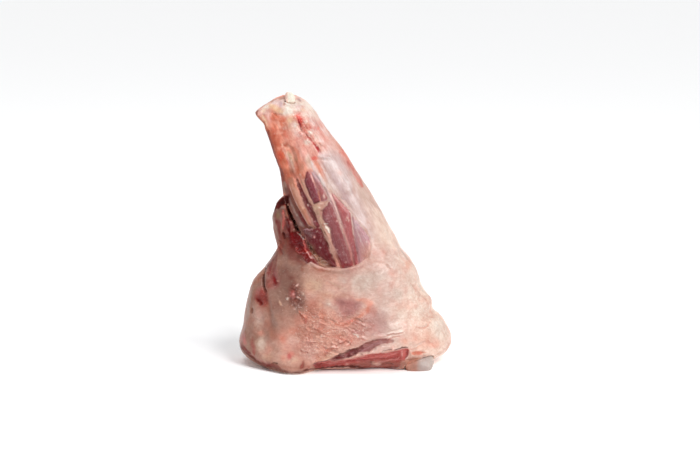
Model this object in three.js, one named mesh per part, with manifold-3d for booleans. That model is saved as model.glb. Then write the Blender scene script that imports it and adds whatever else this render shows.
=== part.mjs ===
// A raw lamb hind shank standing on its broad cut end, in millimetres, +Z up.
// The cut face at the knee is the flat base at z = 0. The shin runs up the +X side, the heel muscle
// stands free at the -X side behind a cleft, and the narrow hock end leans to -X at the top.
// Two pieces: the meat with its fat cover, and the shank bone that runs through it and shows at both ends.
import * as THREE from "three";
import { mergeVertices } from "three/addons/utils/BufferGeometryUtils.js";
import Module from "manifold-3d";

// ---- driving dimensions -------------------------------------------------
const HALF_WIDTH = 63; // widest, knee to heel side, 12 mm above the base
const HALF_DEPTH = 37; // widest, outer to inner side of the leg
const HOCK_TOP = 157.8; // top of the meat at the narrow end
const NUB_TOP = 160; // tip of the small bone nub above it
const HEEL_TOP = 95; // free end of the heel muscle
const SHELF_TOP = 91; // where the base's mass closes against the back of the leg
const BONE_GAP = 0.35; // clearance between the bone and the meat round it
const FAT_LIP = 1.6; // step of the fat's edge above the bare muscle
const FRONT_NOTCH = 4; // how far the trimmed front of the cut stands back
const FRONT_LIFT = 15; // how far the foot of that front is drawn in under it
const SKIRT_BULGE = 7.5; // how far the heel-side skirt's foot stands out at the front

const LEG = { around: 44, up: 31 };
const BASE = { around: 52, up: 26 };
const HEEL = { around: 30, up: 18 };
const BONE = { around: 22, up: 26 };
const NUB = { around: 10, up: 4 };
const TAG = { around: 14, up: 3 };

// Sections of each mass at a height z: how far it reaches to the left (-X), right (+X), front (-Y) and back (+Y).
const LEG_SECTIONS = [
  { z: 27, left: -20, right: 44, front: -27.3, back: 26.4 },
  { z: 47, left: -18.5, right: 41.6, front: -29.6, back: 28.2 },
  { z: 59, left: -18, right: 38, front: -28.8, back: 28.2 },
  { z: 67, left: -22.8, right: 32.4, front: -27.6, back: 27.7 },
  { z: 82, left: -29.5, right: 25, front: -25, back: 25.5 },
  { z: 97, left: -36.2, right: 16.8, front: -22.7, back: 23.3 },
  { z: 112, left: -38, right: 7.4, front: -20.4, back: 21.1 },
  { z: 127, left: -42.8, right: -2.2, front: -18.1, back: 19.4 },
  { z: 135, left: -45.2, right: -8.4, front: -16.9, back: 18.2 },
  { z: 140, left: -46.9, right: -12, front: -16.2, back: 17.5 },
  { z: 143.8, left: -49.9, right: -14.6, front: -15.8, back: 17.2 },
  { z: 147.6, left: -52.8, right: -16.8, front: -15.4, back: 16.7 },
  { z: 150.2, left: -50.4, right: -18.6, front: -14.5, back: 15.7 },
  { z: 152.6, left: -46.4, right: -20.6, front: -13, back: 14.2 },
  { z: 154.8, left: -42.8, right: -23.2, front: -10.8, back: 12 },
  { z: 156.6, left: -39.6, right: -26, front: -7.6, back: 8.8 },
  { z: HOCK_TOP, left: -36.2, right: -29.2, front: -2.6, back: 4.4 },
];
const BASE_SECTIONS = [
  { z: 0, left: -53.6, right: 48, front: -31.5, back: 31.5 },
  { z: 3, left: -58.4, right: 54, front: -34.4, back: 34.4 },
  { z: 7, left: -61.8, right: 60.8, front: -36.2, back: 36.2 },
  { z: 12, left: -HALF_WIDTH, right: HALF_WIDTH, front: -HALF_DEPTH, back: HALF_DEPTH },
  { z: 23, left: -60.5, right: 59, front: -36.6, back: 36.2 },
  { z: 27.5, left: -59.8, right: 55.6, front: -36.3, back: 35.8 },
  { z: 31.5, left: -59.2, right: 51.6, front: -36.1, back: 35.3 },
  { z: 36, left: -58.4, right: 49.8, front: -35.8, back: 34.8 },
  { z: 47, left: -55.4, right: 44.4, front: -34.9, back: 33.6 },
  { z: 55, left: -49, right: 41.2, front: -33.9, back: 32.6 },
  { z: 61, left: -44.6, right: 37.2, front: -32.4, back: 31.6 },
  { z: 67, left: -40.6, right: 32, front: -28.4, back: 30.4 },
  { z: 75, left: -37, right: 27.4, front: -12, back: 28.9 },
  { z: 83, left: -33, right: 23, front: 6, back: 26.4 },
  { z: 89, left: -26, right: 15, front: 11, back: 22.4 },
  { z: SHELF_TOP, left: -14, right: 5, front: 13.2, back: 18.6 },
];
const HEEL_SECTIONS = [
  { z: 20, left: -50, right: 8, front: -5.3, back: 32.6 },
  { z: 42, left: -51, right: 6, front: -4, back: 33.1 },
  { z: 54, left: -44.6, right: 2, front: -3.5, back: 32.6 },
  { z: 64, left: -40.8, right: -2, front: -3.2, back: 31.5 },
  { z: 76, left: -42.8, right: -8, front: -2.6, back: 29 },
  { z: 84, left: -43.4, right: -14, front: -0.9, back: 26.4 },
  { z: 90, left: -41.8, right: -20, front: 2.3, back: 22.9 },
  { z: 93.4, left: -39.4, right: -25, front: 5.7, back: 18.9 },
  { z: HEEL_TOP, left: -36.5, right: -29.5, front: 9.2, back: 14.5 },
];
const BONE_SECTIONS = [
  { z: 0, left: 34.6, right: 50.4, front: -28.6, back: -5 },
  { z: 3, left: 32.6, right: 51.4, front: -29, back: -3 },
  { z: 9, left: 28.6, right: 51.2, front: -27.6, back: -0.6 },
  { z: 16, left: 24, right: 47, front: -22.8, back: 1.2 },
  { z: 26, left: 19.4, right: 40.2, front: -16.6, back: 1.8 },
  { z: 42, left: 14, right: 31, front: -12, back: 3.3 },
  { z: 69, left: 4.6, right: 19.6, front: -7.9, back: 5.6 },
  { z: 97, left: -8.4, right: 6.4, front: -6.2, back: 7 },
  { z: 127, left: -25.4, right: -9.4, front: -6, back: 8.1 },
  { z: 140, left: -36.6, right: -18, front: -6.7, back: 9.7 },
  { z: 147, left: -42.8, right: -23.2, front: -6.9, back: 10 },
  { z: 152.4, left: -42.6, right: -25, front: -6.2, back: 9.2 },
  { z: 155, left: -41, right: -26.6, front: -4.8, back: 7.6 },
];
// The chip of bone left standing on the top end, higher at its left corner.
const NUB_SECTIONS = [
  { z: 151, left: -35, right: -29.2, front: -4.4, back: 1.2 },
  { z: 157.2, left: -34.9, right: -29.2, front: -4.3, back: 1.2 },
  { z: 158.6, left: -34.4, right: -30.4, front: -4, back: 0.9 },
  { z: NUB_TOP, left: -33.8, right: -32.6, front: -2.6, back: -0.4 },
];
// The tag of joint tissue between the cut front and the bone's low end.
const TAG_SECTIONS = [
  { z: 0, left: 20, right: 41.4, front: -24.2, back: -8 },
  { z: 3, left: 19, right: 42.2, front: -26.6, back: -8 },
  { z: 8, left: 20, right: 42, front: -28.4, back: -8 },
  { z: 12, left: 24, right: 40, front: -27, back: -10 },
];

// Outline of the bare muscle in the fat on the front of the leg, seen from the front (x, z): up the cleft side to the tip,
// down the shin side, and back along the fat's rim.
const WINDOW_OUTLINE = [
  [-27.5, 69],
  [-30.4, 86],
  [-29.4, 100],
  [-22.6, 118],
  [-9.5, 110],
  [4, 95.5],
  [14, 81.5],
  [15.6, 74],
  [11.6, 67],
  [4.6, 62.8],
  [-6.4, 61],
  [-17, 63],
];

// ---- shape functions ----------------------------------------------------
const smooth = (a, b, v) => THREE.MathUtils.smoothstep(v, a, b);
const bump = (v, centre, half) => Math.exp(-(((v - centre) / half) ** 2));

// A shape-preserving cubic through the sections, so that no width overshoots between two of them.
function profile(sections, key) {
  const z = sections.map((s) => s.z),
    v = sections.map((s) => s[key]),
    n = z.length;
  const slope = z.slice(1).map((q, i) => (v[i + 1] - v[i]) / (q - z[i]));
  const tangent = z.map((_, i) => {
    if (i === 0) return slope[0];
    if (i === n - 1) return slope[n - 2];
    const a = slope[i - 1],
      b = slope[i];
    if (a * b <= 0) return 0;
    const ha = z[i] - z[i - 1],
      hb = z[i + 1] - z[i],
      wa = 2 * hb + ha,
      wb = hb + 2 * ha;
    return (wa + wb) / (wa / a + wb / b);
  });
  return (q) => {
    let i = 0;
    while (i < n - 2 && q > z[i + 1]) i++;
    const h = z[i + 1] - z[i],
      t = THREE.MathUtils.clamp((q - z[i]) / h, 0, 1),
      u = 1 - t;
    return (
      (1 + 2 * t) * u * u * v[i] +
      t * u * u * h * tangent[i] +
      t * t * (3 - 2 * t) * v[i + 1] -
      t * t * u * h * tangent[i + 1]
    );
  };
}

// A closed mass lofted through its sections. Each quarter of a section is a superellipse of that power,
// and relief(x, y, z, angle) moves the surface out along the section's own radius.
function loft(sections, { around, up }, { power = 2, grow = 0, from, to, relief } = {}) {
  const [left, right, front, back] = ["left", "right", "front", "back"].map((k) => profile(sections, k));
  const low = from ?? sections[0].z,
    high = to ?? sections.at(-1).z;
  const inTable = (z) => THREE.MathUtils.clamp(z, sections[0].z, sections.at(-1).z);
  const geometry = new THREE.CylinderGeometry(1, 1, 1, around, up);
  const p = geometry.getAttribute("position");
  for (let i = 0; i < p.count; i++) {
    const radial = Math.min(1, Math.hypot(p.getX(i), p.getZ(i)));
    const angle = Math.atan2(-p.getZ(i), p.getX(i));
    // rows close up towards both ends, where the form turns fastest
    const t = p.getY(i) + 0.5,
      z = low + (high - low) * (t - (0.55 * Math.sin(2 * Math.PI * t)) / (2 * Math.PI));
    const q = inTable(z),
      c = Math.cos(angle),
      s = Math.sin(angle);
    const cx = (left(q) + right(q)) / 2,
      cy = (front(q) + back(q)) / 2;
    const a = (right(q) - left(q)) / 2 + grow,
      b = (back(q) - front(q)) / 2 + grow;
    let r = (Math.abs(c / a) ** power + Math.abs(s / b) ** power) ** (-1 / power);
    if (relief && radial > 0) r += relief(cx + r * c, cy + r * s, z, angle);
    p.setXYZ(i, cx + radial * r * c, cy + radial * r * s, z);
  }
  return geometry;
}

// The front of the cut stands back where the fat was trimmed and its foot is drawn in, a crease parts the heel-side skirt,
// a fold lies over the knee, and the skirt hangs in soft lobes, the lowest of them at the front.
function baseRelief(x, y, z, angle) {
  const front = 1 - smooth(-8, 0, y);
  const notch =
    -FRONT_NOTCH * front * bump(x, 14, 20) * (1 - smooth(7, 15, z)) -
    FRONT_LIFT * front * smooth(-20, -10, x) * (1 - smooth(22, 30, x)) * (1 - smooth(0, 6, z)) +
    SKIRT_BULGE * front * bump(x, -33, 13) * (1 - smooth(2, 15, z));
  const crease = -3 * bump(angle, -2.77, 0.13) * bump(z, 51, 8);
  const fold = 2 * bump(angle, -0.22, 0.3) * bump(z, 38, 4);
  const lobes = 1.1 * Math.sin(4 * angle) * bump(z, 14, 16);
  return notch + crease + fold + lobes * smooth(0, 7, z);
}

// The shin side of the hock has a shallow groove between its tendons.
const boneRelief = (x, y, z, angle) =>
  -1.2 * bump(angle, -1.9, 0.35) * smooth(34, 52, z) * (1 - smooth(137, 149, z)) +
  -1.1 * bump(angle, 2.2, 0.4) * (1 - smooth(6, 18, z));

// ---- joining and cutting ------------------------------------------------
const wasm = await Module();
wasm.setup();

function solid(geometry) {
  const bare = geometry.clone();
  bare.deleteAttribute("normal");
  bare.deleteAttribute("uv");
  const merged = mergeVertices(bare, 1e-4);
  return new wasm.Manifold(
    new wasm.Mesh({
      numProp: 3,
      vertProperties: new Float32Array(merged.getAttribute("position").array),
      triVerts: new Uint32Array(merged.index.array),
    }),
  );
}

function meshOf(name, shape, material) {
  const m = shape.getMesh();
  const geometry = new THREE.BufferGeometry();
  geometry.setAttribute("position", new THREE.BufferAttribute(new Float32Array(m.vertProperties), 3));
  geometry.setIndex(new THREE.BufferAttribute(new Uint32Array(m.triVerts), 1));
  geometry.computeVertexNormals();
  const mesh = new THREE.Mesh(geometry, material);
  mesh.name = name;
  return mesh;
}

const bone = solid(loft(BONE_SECTIONS, BONE, { power: 2.2, relief: boneRelief })).add(
  solid(loft(NUB_SECTIONS, NUB, { power: 4 })),
);
const channel = solid(
  loft(BONE_SECTIONS, BONE, { power: 2.2, relief: boneRelief, grow: BONE_GAP }),
)
  .add(solid(endClear(BONE_SECTIONS[0], -4, 0.2)))
  .add(solid(endClear(BONE_SECTIONS.at(-1), BONE_SECTIONS.at(-1).z - 0.2, NUB_TOP + 4)));

// A straight length of channel past an end of the bone, so that the end stays open.
function endClear(section, from, to) {
  const flat = [from, to].map((z) => ({ ...section, z }));
  return loft(flat, { around: BONE.around, up: 1 }, { power: 2.2, grow: BONE_GAP });
}

// The fat is open over the muscle on the front: what lies outside the leg's bare core there is taken away.
const outline = new THREE.Shape();
outline.moveTo(...WINDOW_OUTLINE[0]);
outline.splineThru([...WINDOW_OUTLINE.slice(1), WINDOW_OUTLINE[0]].map(([x, z]) => new THREE.Vector2(x, z)));
const windowBlock = new THREE.ExtrudeGeometry(outline, { depth: 50, bevelEnabled: false, curveSegments: 40 });
windowBlock.rotateX(Math.PI / 2); // the outline's second axis becomes +Z, and the depth runs towards -Y
windowBlock.translate(0, -7, 0);
const bareCore = solid(loft(LEG_SECTIONS, LEG, { power: 2.1, grow: -FAT_LIP }));
const openFat = solid(windowBlock).subtract(bareCore);

const meat = solid(loft(BASE_SECTIONS, BASE, { power: 2.15, relief: baseRelief }))
  .add(solid(loft(LEG_SECTIONS, LEG, { power: 2.1 })))
  .subtract(openFat)
  .add(solid(loft(HEEL_SECTIONS, HEEL, { power: 2.1 })))
  .add(solid(loft(TAG_SECTIONS, TAG, { power: 2.4 })))
  .subtract(channel);

// ---- the shank ----------------------------------------------------------
const shank = new THREE.Group();
shank.name = "hind_shank";
shank.add(
  meshOf("meat", meat, new THREE.MeshStandardMaterial({ color: 0xd9a394, roughness: 0.5, metalness: 0 })),
  meshOf("bone", bone, new THREE.MeshStandardMaterial({ color: 0xe0d3cb, roughness: 0.35, metalness: 0 })),
);

export default shank;
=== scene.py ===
import math

import bpy
import numpy as np
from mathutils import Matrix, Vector


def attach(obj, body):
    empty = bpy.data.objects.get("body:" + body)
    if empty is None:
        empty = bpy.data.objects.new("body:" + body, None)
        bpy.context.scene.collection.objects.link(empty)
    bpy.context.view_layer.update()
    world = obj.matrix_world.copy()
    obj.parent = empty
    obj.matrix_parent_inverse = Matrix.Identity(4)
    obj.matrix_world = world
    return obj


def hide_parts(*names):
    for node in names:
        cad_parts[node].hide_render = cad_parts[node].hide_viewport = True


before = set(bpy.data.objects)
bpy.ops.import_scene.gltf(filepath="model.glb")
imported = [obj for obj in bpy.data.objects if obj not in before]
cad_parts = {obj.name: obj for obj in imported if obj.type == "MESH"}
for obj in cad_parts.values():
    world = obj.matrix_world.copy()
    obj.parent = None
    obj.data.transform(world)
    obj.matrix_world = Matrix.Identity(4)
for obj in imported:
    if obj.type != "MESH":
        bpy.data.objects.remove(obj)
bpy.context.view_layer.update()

# A raw hind shank standing on its broad cut end. All shape work is in millimetres,
# X to the right of the view, Y away from it, Z up, and the meshes are made in metres.
MM = 0.001

# ---------------------------------------------------------------- camera
IMAGE_W, IMAGE_H = 700, 467
LENS, SENSOR = 100.0, 36.0
FOCAL = LENS / SENSOR * IMAGE_W
TILT = math.radians(10.0)
AIM = np.array([2.5, 0.0, 76.4])
REACH = 1143.0
EYE = AIM + REACH * np.array([0.0, -math.cos(TILT), math.sin(TILT)])
LOOK = np.array([0.0, math.cos(TILT), -math.sin(TILT)])
UP = np.array([0.0, math.sin(TILT), math.cos(TILT)])
PX = 0.588  # millimetres to a pixel at the shank


def picture(p):
    """Where points fall in the picture plane, in its pixels."""
    d = p - EYE
    depth = d @ LOOK
    return IMAGE_W / 2 + FOCAL * d[:, 0] / depth, IMAGE_H / 2 - FOCAL * (d @ UP) / depth


# ---------------------------------------------------------------- small maths
def smooth(a, b, v):
    t = np.clip((v - a) / (b - a), 0.0, 1.0)
    return t * t * (3 - 2 * t)


def bump(v, centre, half):
    return np.exp(-(((v - centre) / half) ** 2))


def smin(a, b, k):
    h = np.clip(0.5 + 0.5 * (b - a) / k, 0.0, 1.0)
    return b + (a - b) * h - k * h * (1 - h)


def smax(a, b, k):
    return -smin(-a, -b, k)


def lattice(i, j, k, seed):
    n = (i * 374761393 + j * 668265263 + k * 2147483647 + seed * 1274126177) & 0xFFFFFFFF
    n = ((n ^ (n >> 13)) * 1274126177) & 0xFFFFFFFF
    n = ((n ^ (n >> 15)) * 668265263) & 0xFFFFFFFF
    return (n ^ (n >> 16)) / 4294967295.0


def noise(p, seed):
    """Smooth value noise from 0 to 1."""
    base = np.floor(p).astype(np.int64)
    f = p - base
    f = f * f * f * (f * (f * 6 - 15) + 10)
    out = np.zeros(len(p))
    for a in (0, 1):
        for b in (0, 1):
            for c in (0, 1):
                w = (f[:, 0] if a else 1 - f[:, 0]) * (f[:, 1] if b else 1 - f[:, 1]) * (f[:, 2] if c else 1 - f[:, 2])
                out += w * lattice(base[:, 0] + a, base[:, 1] + b, base[:, 2] + c, seed)
    return out


def fbm(p, size, octaves, seed):
    """Layered noise about 0, roughly -1 to 1, with features of the given size."""
    total, gain, amp = np.zeros(len(p)), 0.0, 1.0
    q = p / size
    for o in range(octaves):
        total += amp * (2 * noise(q + 17.3 * o, seed + o) - 1)
        gain += amp
        q, amp = q * 2.03, amp * 0.5
    return total / gain * 1.6


def ridged(p, size, octaves, seed):
    """Creased noise: 1 on sharp crests, falling to 0."""
    total, gain, amp = np.zeros(len(p)), 0.0, 1.0
    q = p / size
    for o in range(octaves):
        total += amp * (1 - np.abs(2 * noise(q + 9.1 * o, seed + o) - 1)) ** 2
        gain += amp
        q, amp = q * 2.07, amp * 0.5
    return total / gain


def linear(rgb):
    c = np.array(rgb, float) / 255
    return np.where(c <= 0.04045, c / 12.92, ((c + 0.055) / 1.055) ** 2.4)


# ---------------------------------------------------------------- body form
# z, left, right, front, back of each section
LEG = np.array([
    (27, -20, 44, -27.3, 26.4), (47, -18.5, 41.6, -29.6, 28.2), (59, -18, 38, -28.8, 28.2),
    (67, -22.8, 32.4, -27.6, 27.7), (82, -29.5, 25, -25, 25.5), (97, -36.2, 16.8, -22.7, 23.3),
    (112, -38, 7.4, -20.4, 21.1), (127, -42.8, -2.2, -18.1, 19.4), (135, -45.2, -8.4, -16.9, 18.2),
    (140, -46.9, -12, -16.2, 17.5), (143.8, -49.9, -14.6, -15.8, 17.2), (147.6, -52.8, -16.8, -15.4, 16.7),
    (150.2, -50.4, -18.6, -14.5, 15.7), (152.6, -46.4, -20.6, -13, 14.2), (154.8, -42.8, -23.2, -10.8, 12),
    (156.6, -39.6, -26, -7.6, 8.8), (157.8, -36.2, -29.2, -2.6, 4.4)])
BASE = np.array([
    (0, -53.6, 48, -31.5, 31.5), (3, -58.4, 54, -34.4, 34.4), (7, -61.8, 60.8, -36.2, 36.2), (12, -63, 63, -37, 37),
    (23, -60.5, 59, -36.6, 36.2), (27.5, -59.8, 55.6, -36.3, 35.8), (31.5, -59.2, 51.6, -36.1, 35.3),
    (36, -58.4, 49.8, -35.8, 34.8), (47, -55.4, 44.4, -34.9, 33.6), (55, -49, 41.2, -33.9, 32.6),
    (61, -44.6, 37.2, -32.4, 31.6), (67, -40.6, 32, -28.4, 30.4), (75, -37, 27.4, -12, 28.9),
    (83, -33, 23, 6, 26.4), (89, -26, 15, 11, 22.4), (91, -14, 5, 13.2, 18.6)])
HEEL = np.array([
    (20, -50, 8, -5.3, 32.6), (42, -51, 6, -4, 33.1), (54, -44.6, 2, -3.5, 32.6), (64, -40.8, -2, -3.2, 31.5),
    (76, -42.8, -8, -2.6, 29), (84, -43.4, -14, -0.9, 26.4), (90, -41.8, -20, 2.3, 22.9),
    (94, -40.4, -22, 4.2, 20), (97, -37.6, -24, 6.6, 17), (98.6, -35.4, -28, 9, 14.5)])
TAG = np.array([
    (0, 20, 41.4, -22.4, -8), (3, 19, 42.2, -23.8, -8), (8, 20, 42, -25.4, -8), (12, 24, 40, -24.4, -10)])
BONE = np.array([
    (0, 34.6, 50.4, -27, -5), (3, 34, 51.2, -26.8, -3), (6, 32, 51, -24.4, -1.6), (9, 28.6, 50.2, -21.5, -0.6), (16, 24, 46, -18.6, 1.2),
    (26, 19.4, 40.2, -16.6, 1.8), (42, 14, 31, -12, 3.3), (69, 4.6, 19.6, -7.9, 5.6), (97, -8.4, 6.4, -6.2, 7),
    (127, -25.4, -9.4, -6, 8.1), (140, -36.6, -18, -6.7, 9.7), (147, -42.8, -23.2, -6.9, 10),
    (152.4, -42.6, -25, -6.2, 9.2), (155, -41, -26.6, -4.8, 7.6)])
CHIP = np.array([
    (149, -35, -29.2, -10.4, -2), (156.6, -35, -29.2, -10.2, -2), (158.8, -34.8, -30.2, -9.8, -2.4), (160, -34.2, -31.6, -8.6, -3.4)])

STEP = 1.5
GX = np.arange(-68.0, 68.01, STEP)
GY = np.arange(-43.0, 43.51, STEP)
GZ = np.arange(-3.75, 165.01, STEP)


def along(sections, column, z):
    """A section size at height z, by a curve that never overshoots its stations."""
    zk, v = sections[:, 0], sections[:, column]
    h = np.diff(zk)
    d = np.diff(v) / h
    m = np.empty(len(v))
    m[0], m[-1] = d[0], d[-1]
    for i in range(1, len(v) - 1):
        if d[i - 1] * d[i] <= 0:
            m[i] = 0.0
        else:
            wa, wb = 2 * h[i] + h[i - 1], h[i] + 2 * h[i - 1]
            m[i] = (wa + wb) / (wa / d[i - 1] + wb / d[i])
    i = np.clip(np.searchsorted(zk, z) - 1, 0, len(zk) - 2)
    t = np.clip((z - zk[i]) / h[i], 0, 1)
    u = 1 - t
    return (1 + 2 * t) * u * u * v[i] + t * u * u * h[i] * m[i] + t * t * (3 - 2 * t) * v[i + 1] - t * t * u * h[i] * m[i + 1]


def bone_power(z):
    return 3.4 - 1.2 * smooth(9, 18, z)


def loft(sections, power, relief=None):
    """Distance-like field of a stack of rounded sections on the grid, negative inside."""
    left, right, front, back = (along(sections, c, GZ)[None, None, :] for c in (1, 2, 3, 4))
    dx = GX[:, None, None] - (left + right) / 2
    dy = GY[None, :, None] - (front + back) / 2
    a, b = (right - left) / 2, (back - front) / 2
    q = (np.abs(dx / a) ** power + np.abs(dy / b) ** power) ** (1 / power)
    d = np.sqrt(dx * dx + dy * dy)
    f = np.where(q > 1e-3, d - d / np.maximum(q, 1e-3), -np.minimum(a, b))
    if relief is not None:
        f = f - relief(np.arctan2(dy, dx), GX[:, None, None], GY[None, :, None], GZ[None, None, :])
    gx, gy, gz = np.gradient(f, STEP)
    f = f / np.clip(np.sqrt(gx * gx + gy * gy + gz * gz), 0.7, 4.0)
    z = GZ[None, None, :]
    return np.maximum(f, np.maximum(z - sections[-1, 0], sections[0, 0] - z))


def base_relief(angle, x, y, z):
    ahead = 1 - smooth(-8, 0, y)
    crease = -3.0 * bump(angle, -2.77, 0.13) * bump(z, 51, 8)
    fold = 2.0 * bump(angle, -0.22, 0.3) * bump(z, 38, 4)
    lobes = 1.1 * np.sin(4 * angle) * bump(z, 14, 16) * smooth(0, 7, z)
    notch = -2.0 * ahead * bump(x, 14, 20) * (1 - smooth(7, 15, z))
    lip = 6.5 + 0.18 * (x + 18)
    drawn_in = -7.5 * ahead * smooth(-26, -14, x) * (1 - smooth(26, 34, x)) * (1 - smooth(lip - 4.0, lip + 1.0, z))
    skirt = 7.5 * ahead * bump(x, -33, 13) * (1 - smooth(2, 15, z))
    return crease + fold + lobes + notch + drawn_in + skirt


# ---------------------------------------------------------------- marks in the picture plane
def curve(points, closed=False, per=5):
    """A smooth line through points; further columns are carried along."""
    p = np.array(points, float)
    if closed:
        p = np.vstack([p[-1], p, p[0], p[1]])
    else:
        p = np.vstack([2 * p[0] - p[1], p, 2 * p[-1] - p[-2]])
    out = []
    for i in range(1, len(p) - 2):
        a, b, c, d = p[i - 1], p[i], p[i + 1], p[i + 2]
        for t in np.arange(per) / per:
            out.append(0.5 * (2 * b + (c - a) * t + (2 * a - 5 * b + 4 * c - d) * t * t + (3 * b - a - 3 * c + d) * t ** 3))
    if not closed:
        out.append(p[-2])
    out = np.array(out)
    return np.vstack([out, out[:1]]) if closed else out


FAR = 30.0


def reach(px, py, path, far=FAR):
    """Distance to a line and its running fraction, out to far."""
    lo, hi = path[:, :2].min(0) - far, path[:, :2].max(0) + far
    near = np.nonzero((px > lo[0]) & (px < hi[0]) & (py > lo[1]) & (py < hi[1]))[0]
    d2 = np.full(len(near), far * far)
    at = np.zeros(len(near))
    x, y = px[near], py[near]
    for i in range(len(path) - 1):
        ax, ay = path[i, :2]
        bx, by = path[i + 1, :2] - path[i, :2]
        t = np.clip(((x - ax) * bx + (y - ay) * by) / (bx * bx + by * by + 1e-12), 0, 1)
        ex, ey = x - ax - t * bx, y - ay - t * by
        e = ex * ex + ey * ey
        closer = e < d2
        d2[closer] = e[closer]
        at[closer] = ((i + t) / (len(path) - 1))[closer]
    d_all, t_all = np.full(len(px), far), np.zeros(len(px))
    d_all[near], t_all[near] = np.sqrt(d2), at
    return d_all, t_all


def within(px, py, outline, far=FAR):
    """Signed distance to a closed outline, negative inside."""
    path = curve(outline, closed=True)
    d, _ = reach(px, py, path, far)
    lo, hi = path.min(0), path.max(0)
    box = np.nonzero((px > lo[0]) & (px < hi[0]) & (py > lo[1]) & (py < hi[1]))[0]
    x, y = px[box], py[box]
    odd = np.zeros(len(box), bool)
    for i in range(len(path) - 1):
        ax, ay = path[i]
        bx, by = path[i + 1]
        if ay != by:
            odd ^= ((ay > y) != (by > y)) & (x < (bx - ax) * (y - ay) / (by - ay) + ax)
    d[box[odd]] *= -1
    return d


def blob(px, py, cx, cy, rx, ry, turn=0.0):
    c, s = math.cos(math.radians(turn)), math.sin(math.radians(turn))
    u, v = (px - cx) * c + (py - cy) * s, -(px - cx) * s + (py - cy) * c
    return np.exp(-((u / rx) ** 2 + (v / ry) ** 2))


# Colours as they look in the studio light, by what they are on the shank. Some entries stand for light rather than for
# a colour of the shank: the glint entry is a painted highlight, the two near-black reds are painted shade in gaps and
# creases, fat_shade is fat as it looks in shade, and of the bone's entries the pale one is painted light on its end
# while the dark one serves both its darker grain and painted shade.
PALETTE = {
    "fat_bright": (252, 224, 208), "fat_cream": (245, 212, 198), "fat_pale": (236, 205, 193), "fat_stone": (221, 195, 182),
    "fat_rosy": (222, 177, 163), "fat_flesh": (211, 162, 145), "fat_warm": (198, 143, 126), "fat_tan": (183, 139, 123),
    "fat_dull": (161, 122, 108), "fat_shade": (150, 113, 102), "fat_grey": (136, 97, 86), "ash": (168, 143, 132),
    "ivory": (254, 238, 224), "milk": (249, 219, 212), "straw": (249, 210, 173), "blush": (248, 204, 194), "shell": (242, 186, 171),
    "silver": (223, 197, 193), "silver_white": (240, 220, 215), "silver_grey": (206, 171, 163), "lilac": (214, 182, 186),
    "peach": (248, 193, 172), "apricot": (231, 162, 142), "salmon": (236, 160, 139), "coral": (226, 136, 112), "orange": (214, 127, 102),
    "ember": (194, 90, 66), "rust": (172, 90, 70), "tan": (173, 115, 95), "tan_pale": (199, 150, 133), "sand": (194, 147, 130),
    "sand_light": (214, 176, 152), "olive": (170, 132, 110), "moss": (148, 116, 90),
    "scarlet": (244, 106, 96), "crimson": (190, 40, 48), "rose": (228, 126, 112), "pink": (229, 158, 151), "brick": (196, 102, 97),
    "blood": (122, 38, 38), "blood_dark": (94, 22, 24), "maroon": (114, 48, 46), "glint": (238, 196, 184),
    "plum": (138, 67, 75), "plum_dark": (110, 50, 52), "heather": (179, 110, 118), "wine": (108, 46, 51), "wine_dark": (88, 38, 38),
    "lean": (156, 90, 92), "lean_pink": (176, 112, 112), "lean_low": (139, 79, 82), "rosewood": (187, 110, 110), "rosewood_low": (156, 86, 88),
    "veiled": (190, 140, 143), "mauve": (184, 128, 123), "mauve_dark": (169, 114, 109), "strip": (182, 86, 80), "strip_light": (208, 114, 107),
    "strip_brown": (160, 92, 80), "umber": (106, 60, 52), "brown": (152, 98, 82), "chestnut": (132, 76, 68), "membrane": (123, 86, 80),
    "membrane_dark": (112, 70, 69), "gap_shade": (52, 14, 11), "crease_shade": (78, 30, 25), "tissue": (192, 134, 114),
    "maroon_deep": (82, 27, 24), "garnet": (120, 24, 26), "wound": (156, 86, 78), "wound_dark": (110, 24, 25), "flame": (204, 88, 62),
    "sand_green": (197, 161, 136), "gum": (242, 178, 164), "streak_red": (205, 96, 88),
    "bone": (198, 176, 170), "bone_highlight": (226, 214, 206), "bone_grey_and_shade": (150, 128, 118), "chip": (254, 246, 230),
}
PALETTE = {k: linear(v) for k, v in PALETTE.items()}

# fat cover from the heel side to the knee side of the base, as it looks in the light: darker on the heel side, which
# lies in shade, paler on the knee side in the key light; unlit() divides these by the light's gain, but near the
# outline, where it does so only in part, the shade stays painted
FAT_RUN = [(238, "fat_shade"), (256, "fat_dull"), (276, "fat_dull"), (300, "fat_tan"), (326, "fat_flesh"), (358, "fat_rosy"),
           (384, "fat_pale"), (406, "fat_cream"), (430, "fat_bright"), (452, "fat_cream")]

# gap between the heel muscle and the leg
CLEFT = [(286.5, 196.5), (287.2, 205), (288.6, 214), (291, 221), (294, 228), (291, 236), (292, 245), (297, 252),
         (302, 258), (307, 262), (313, 264), (319, 265.4), (318, 262), (313, 255), (307.5, 245.5), (302.5, 236.5),
         (297.5, 228), (293.4, 219.5), (290.4, 211), (288.6, 203), (288.2, 196.5)]
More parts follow.
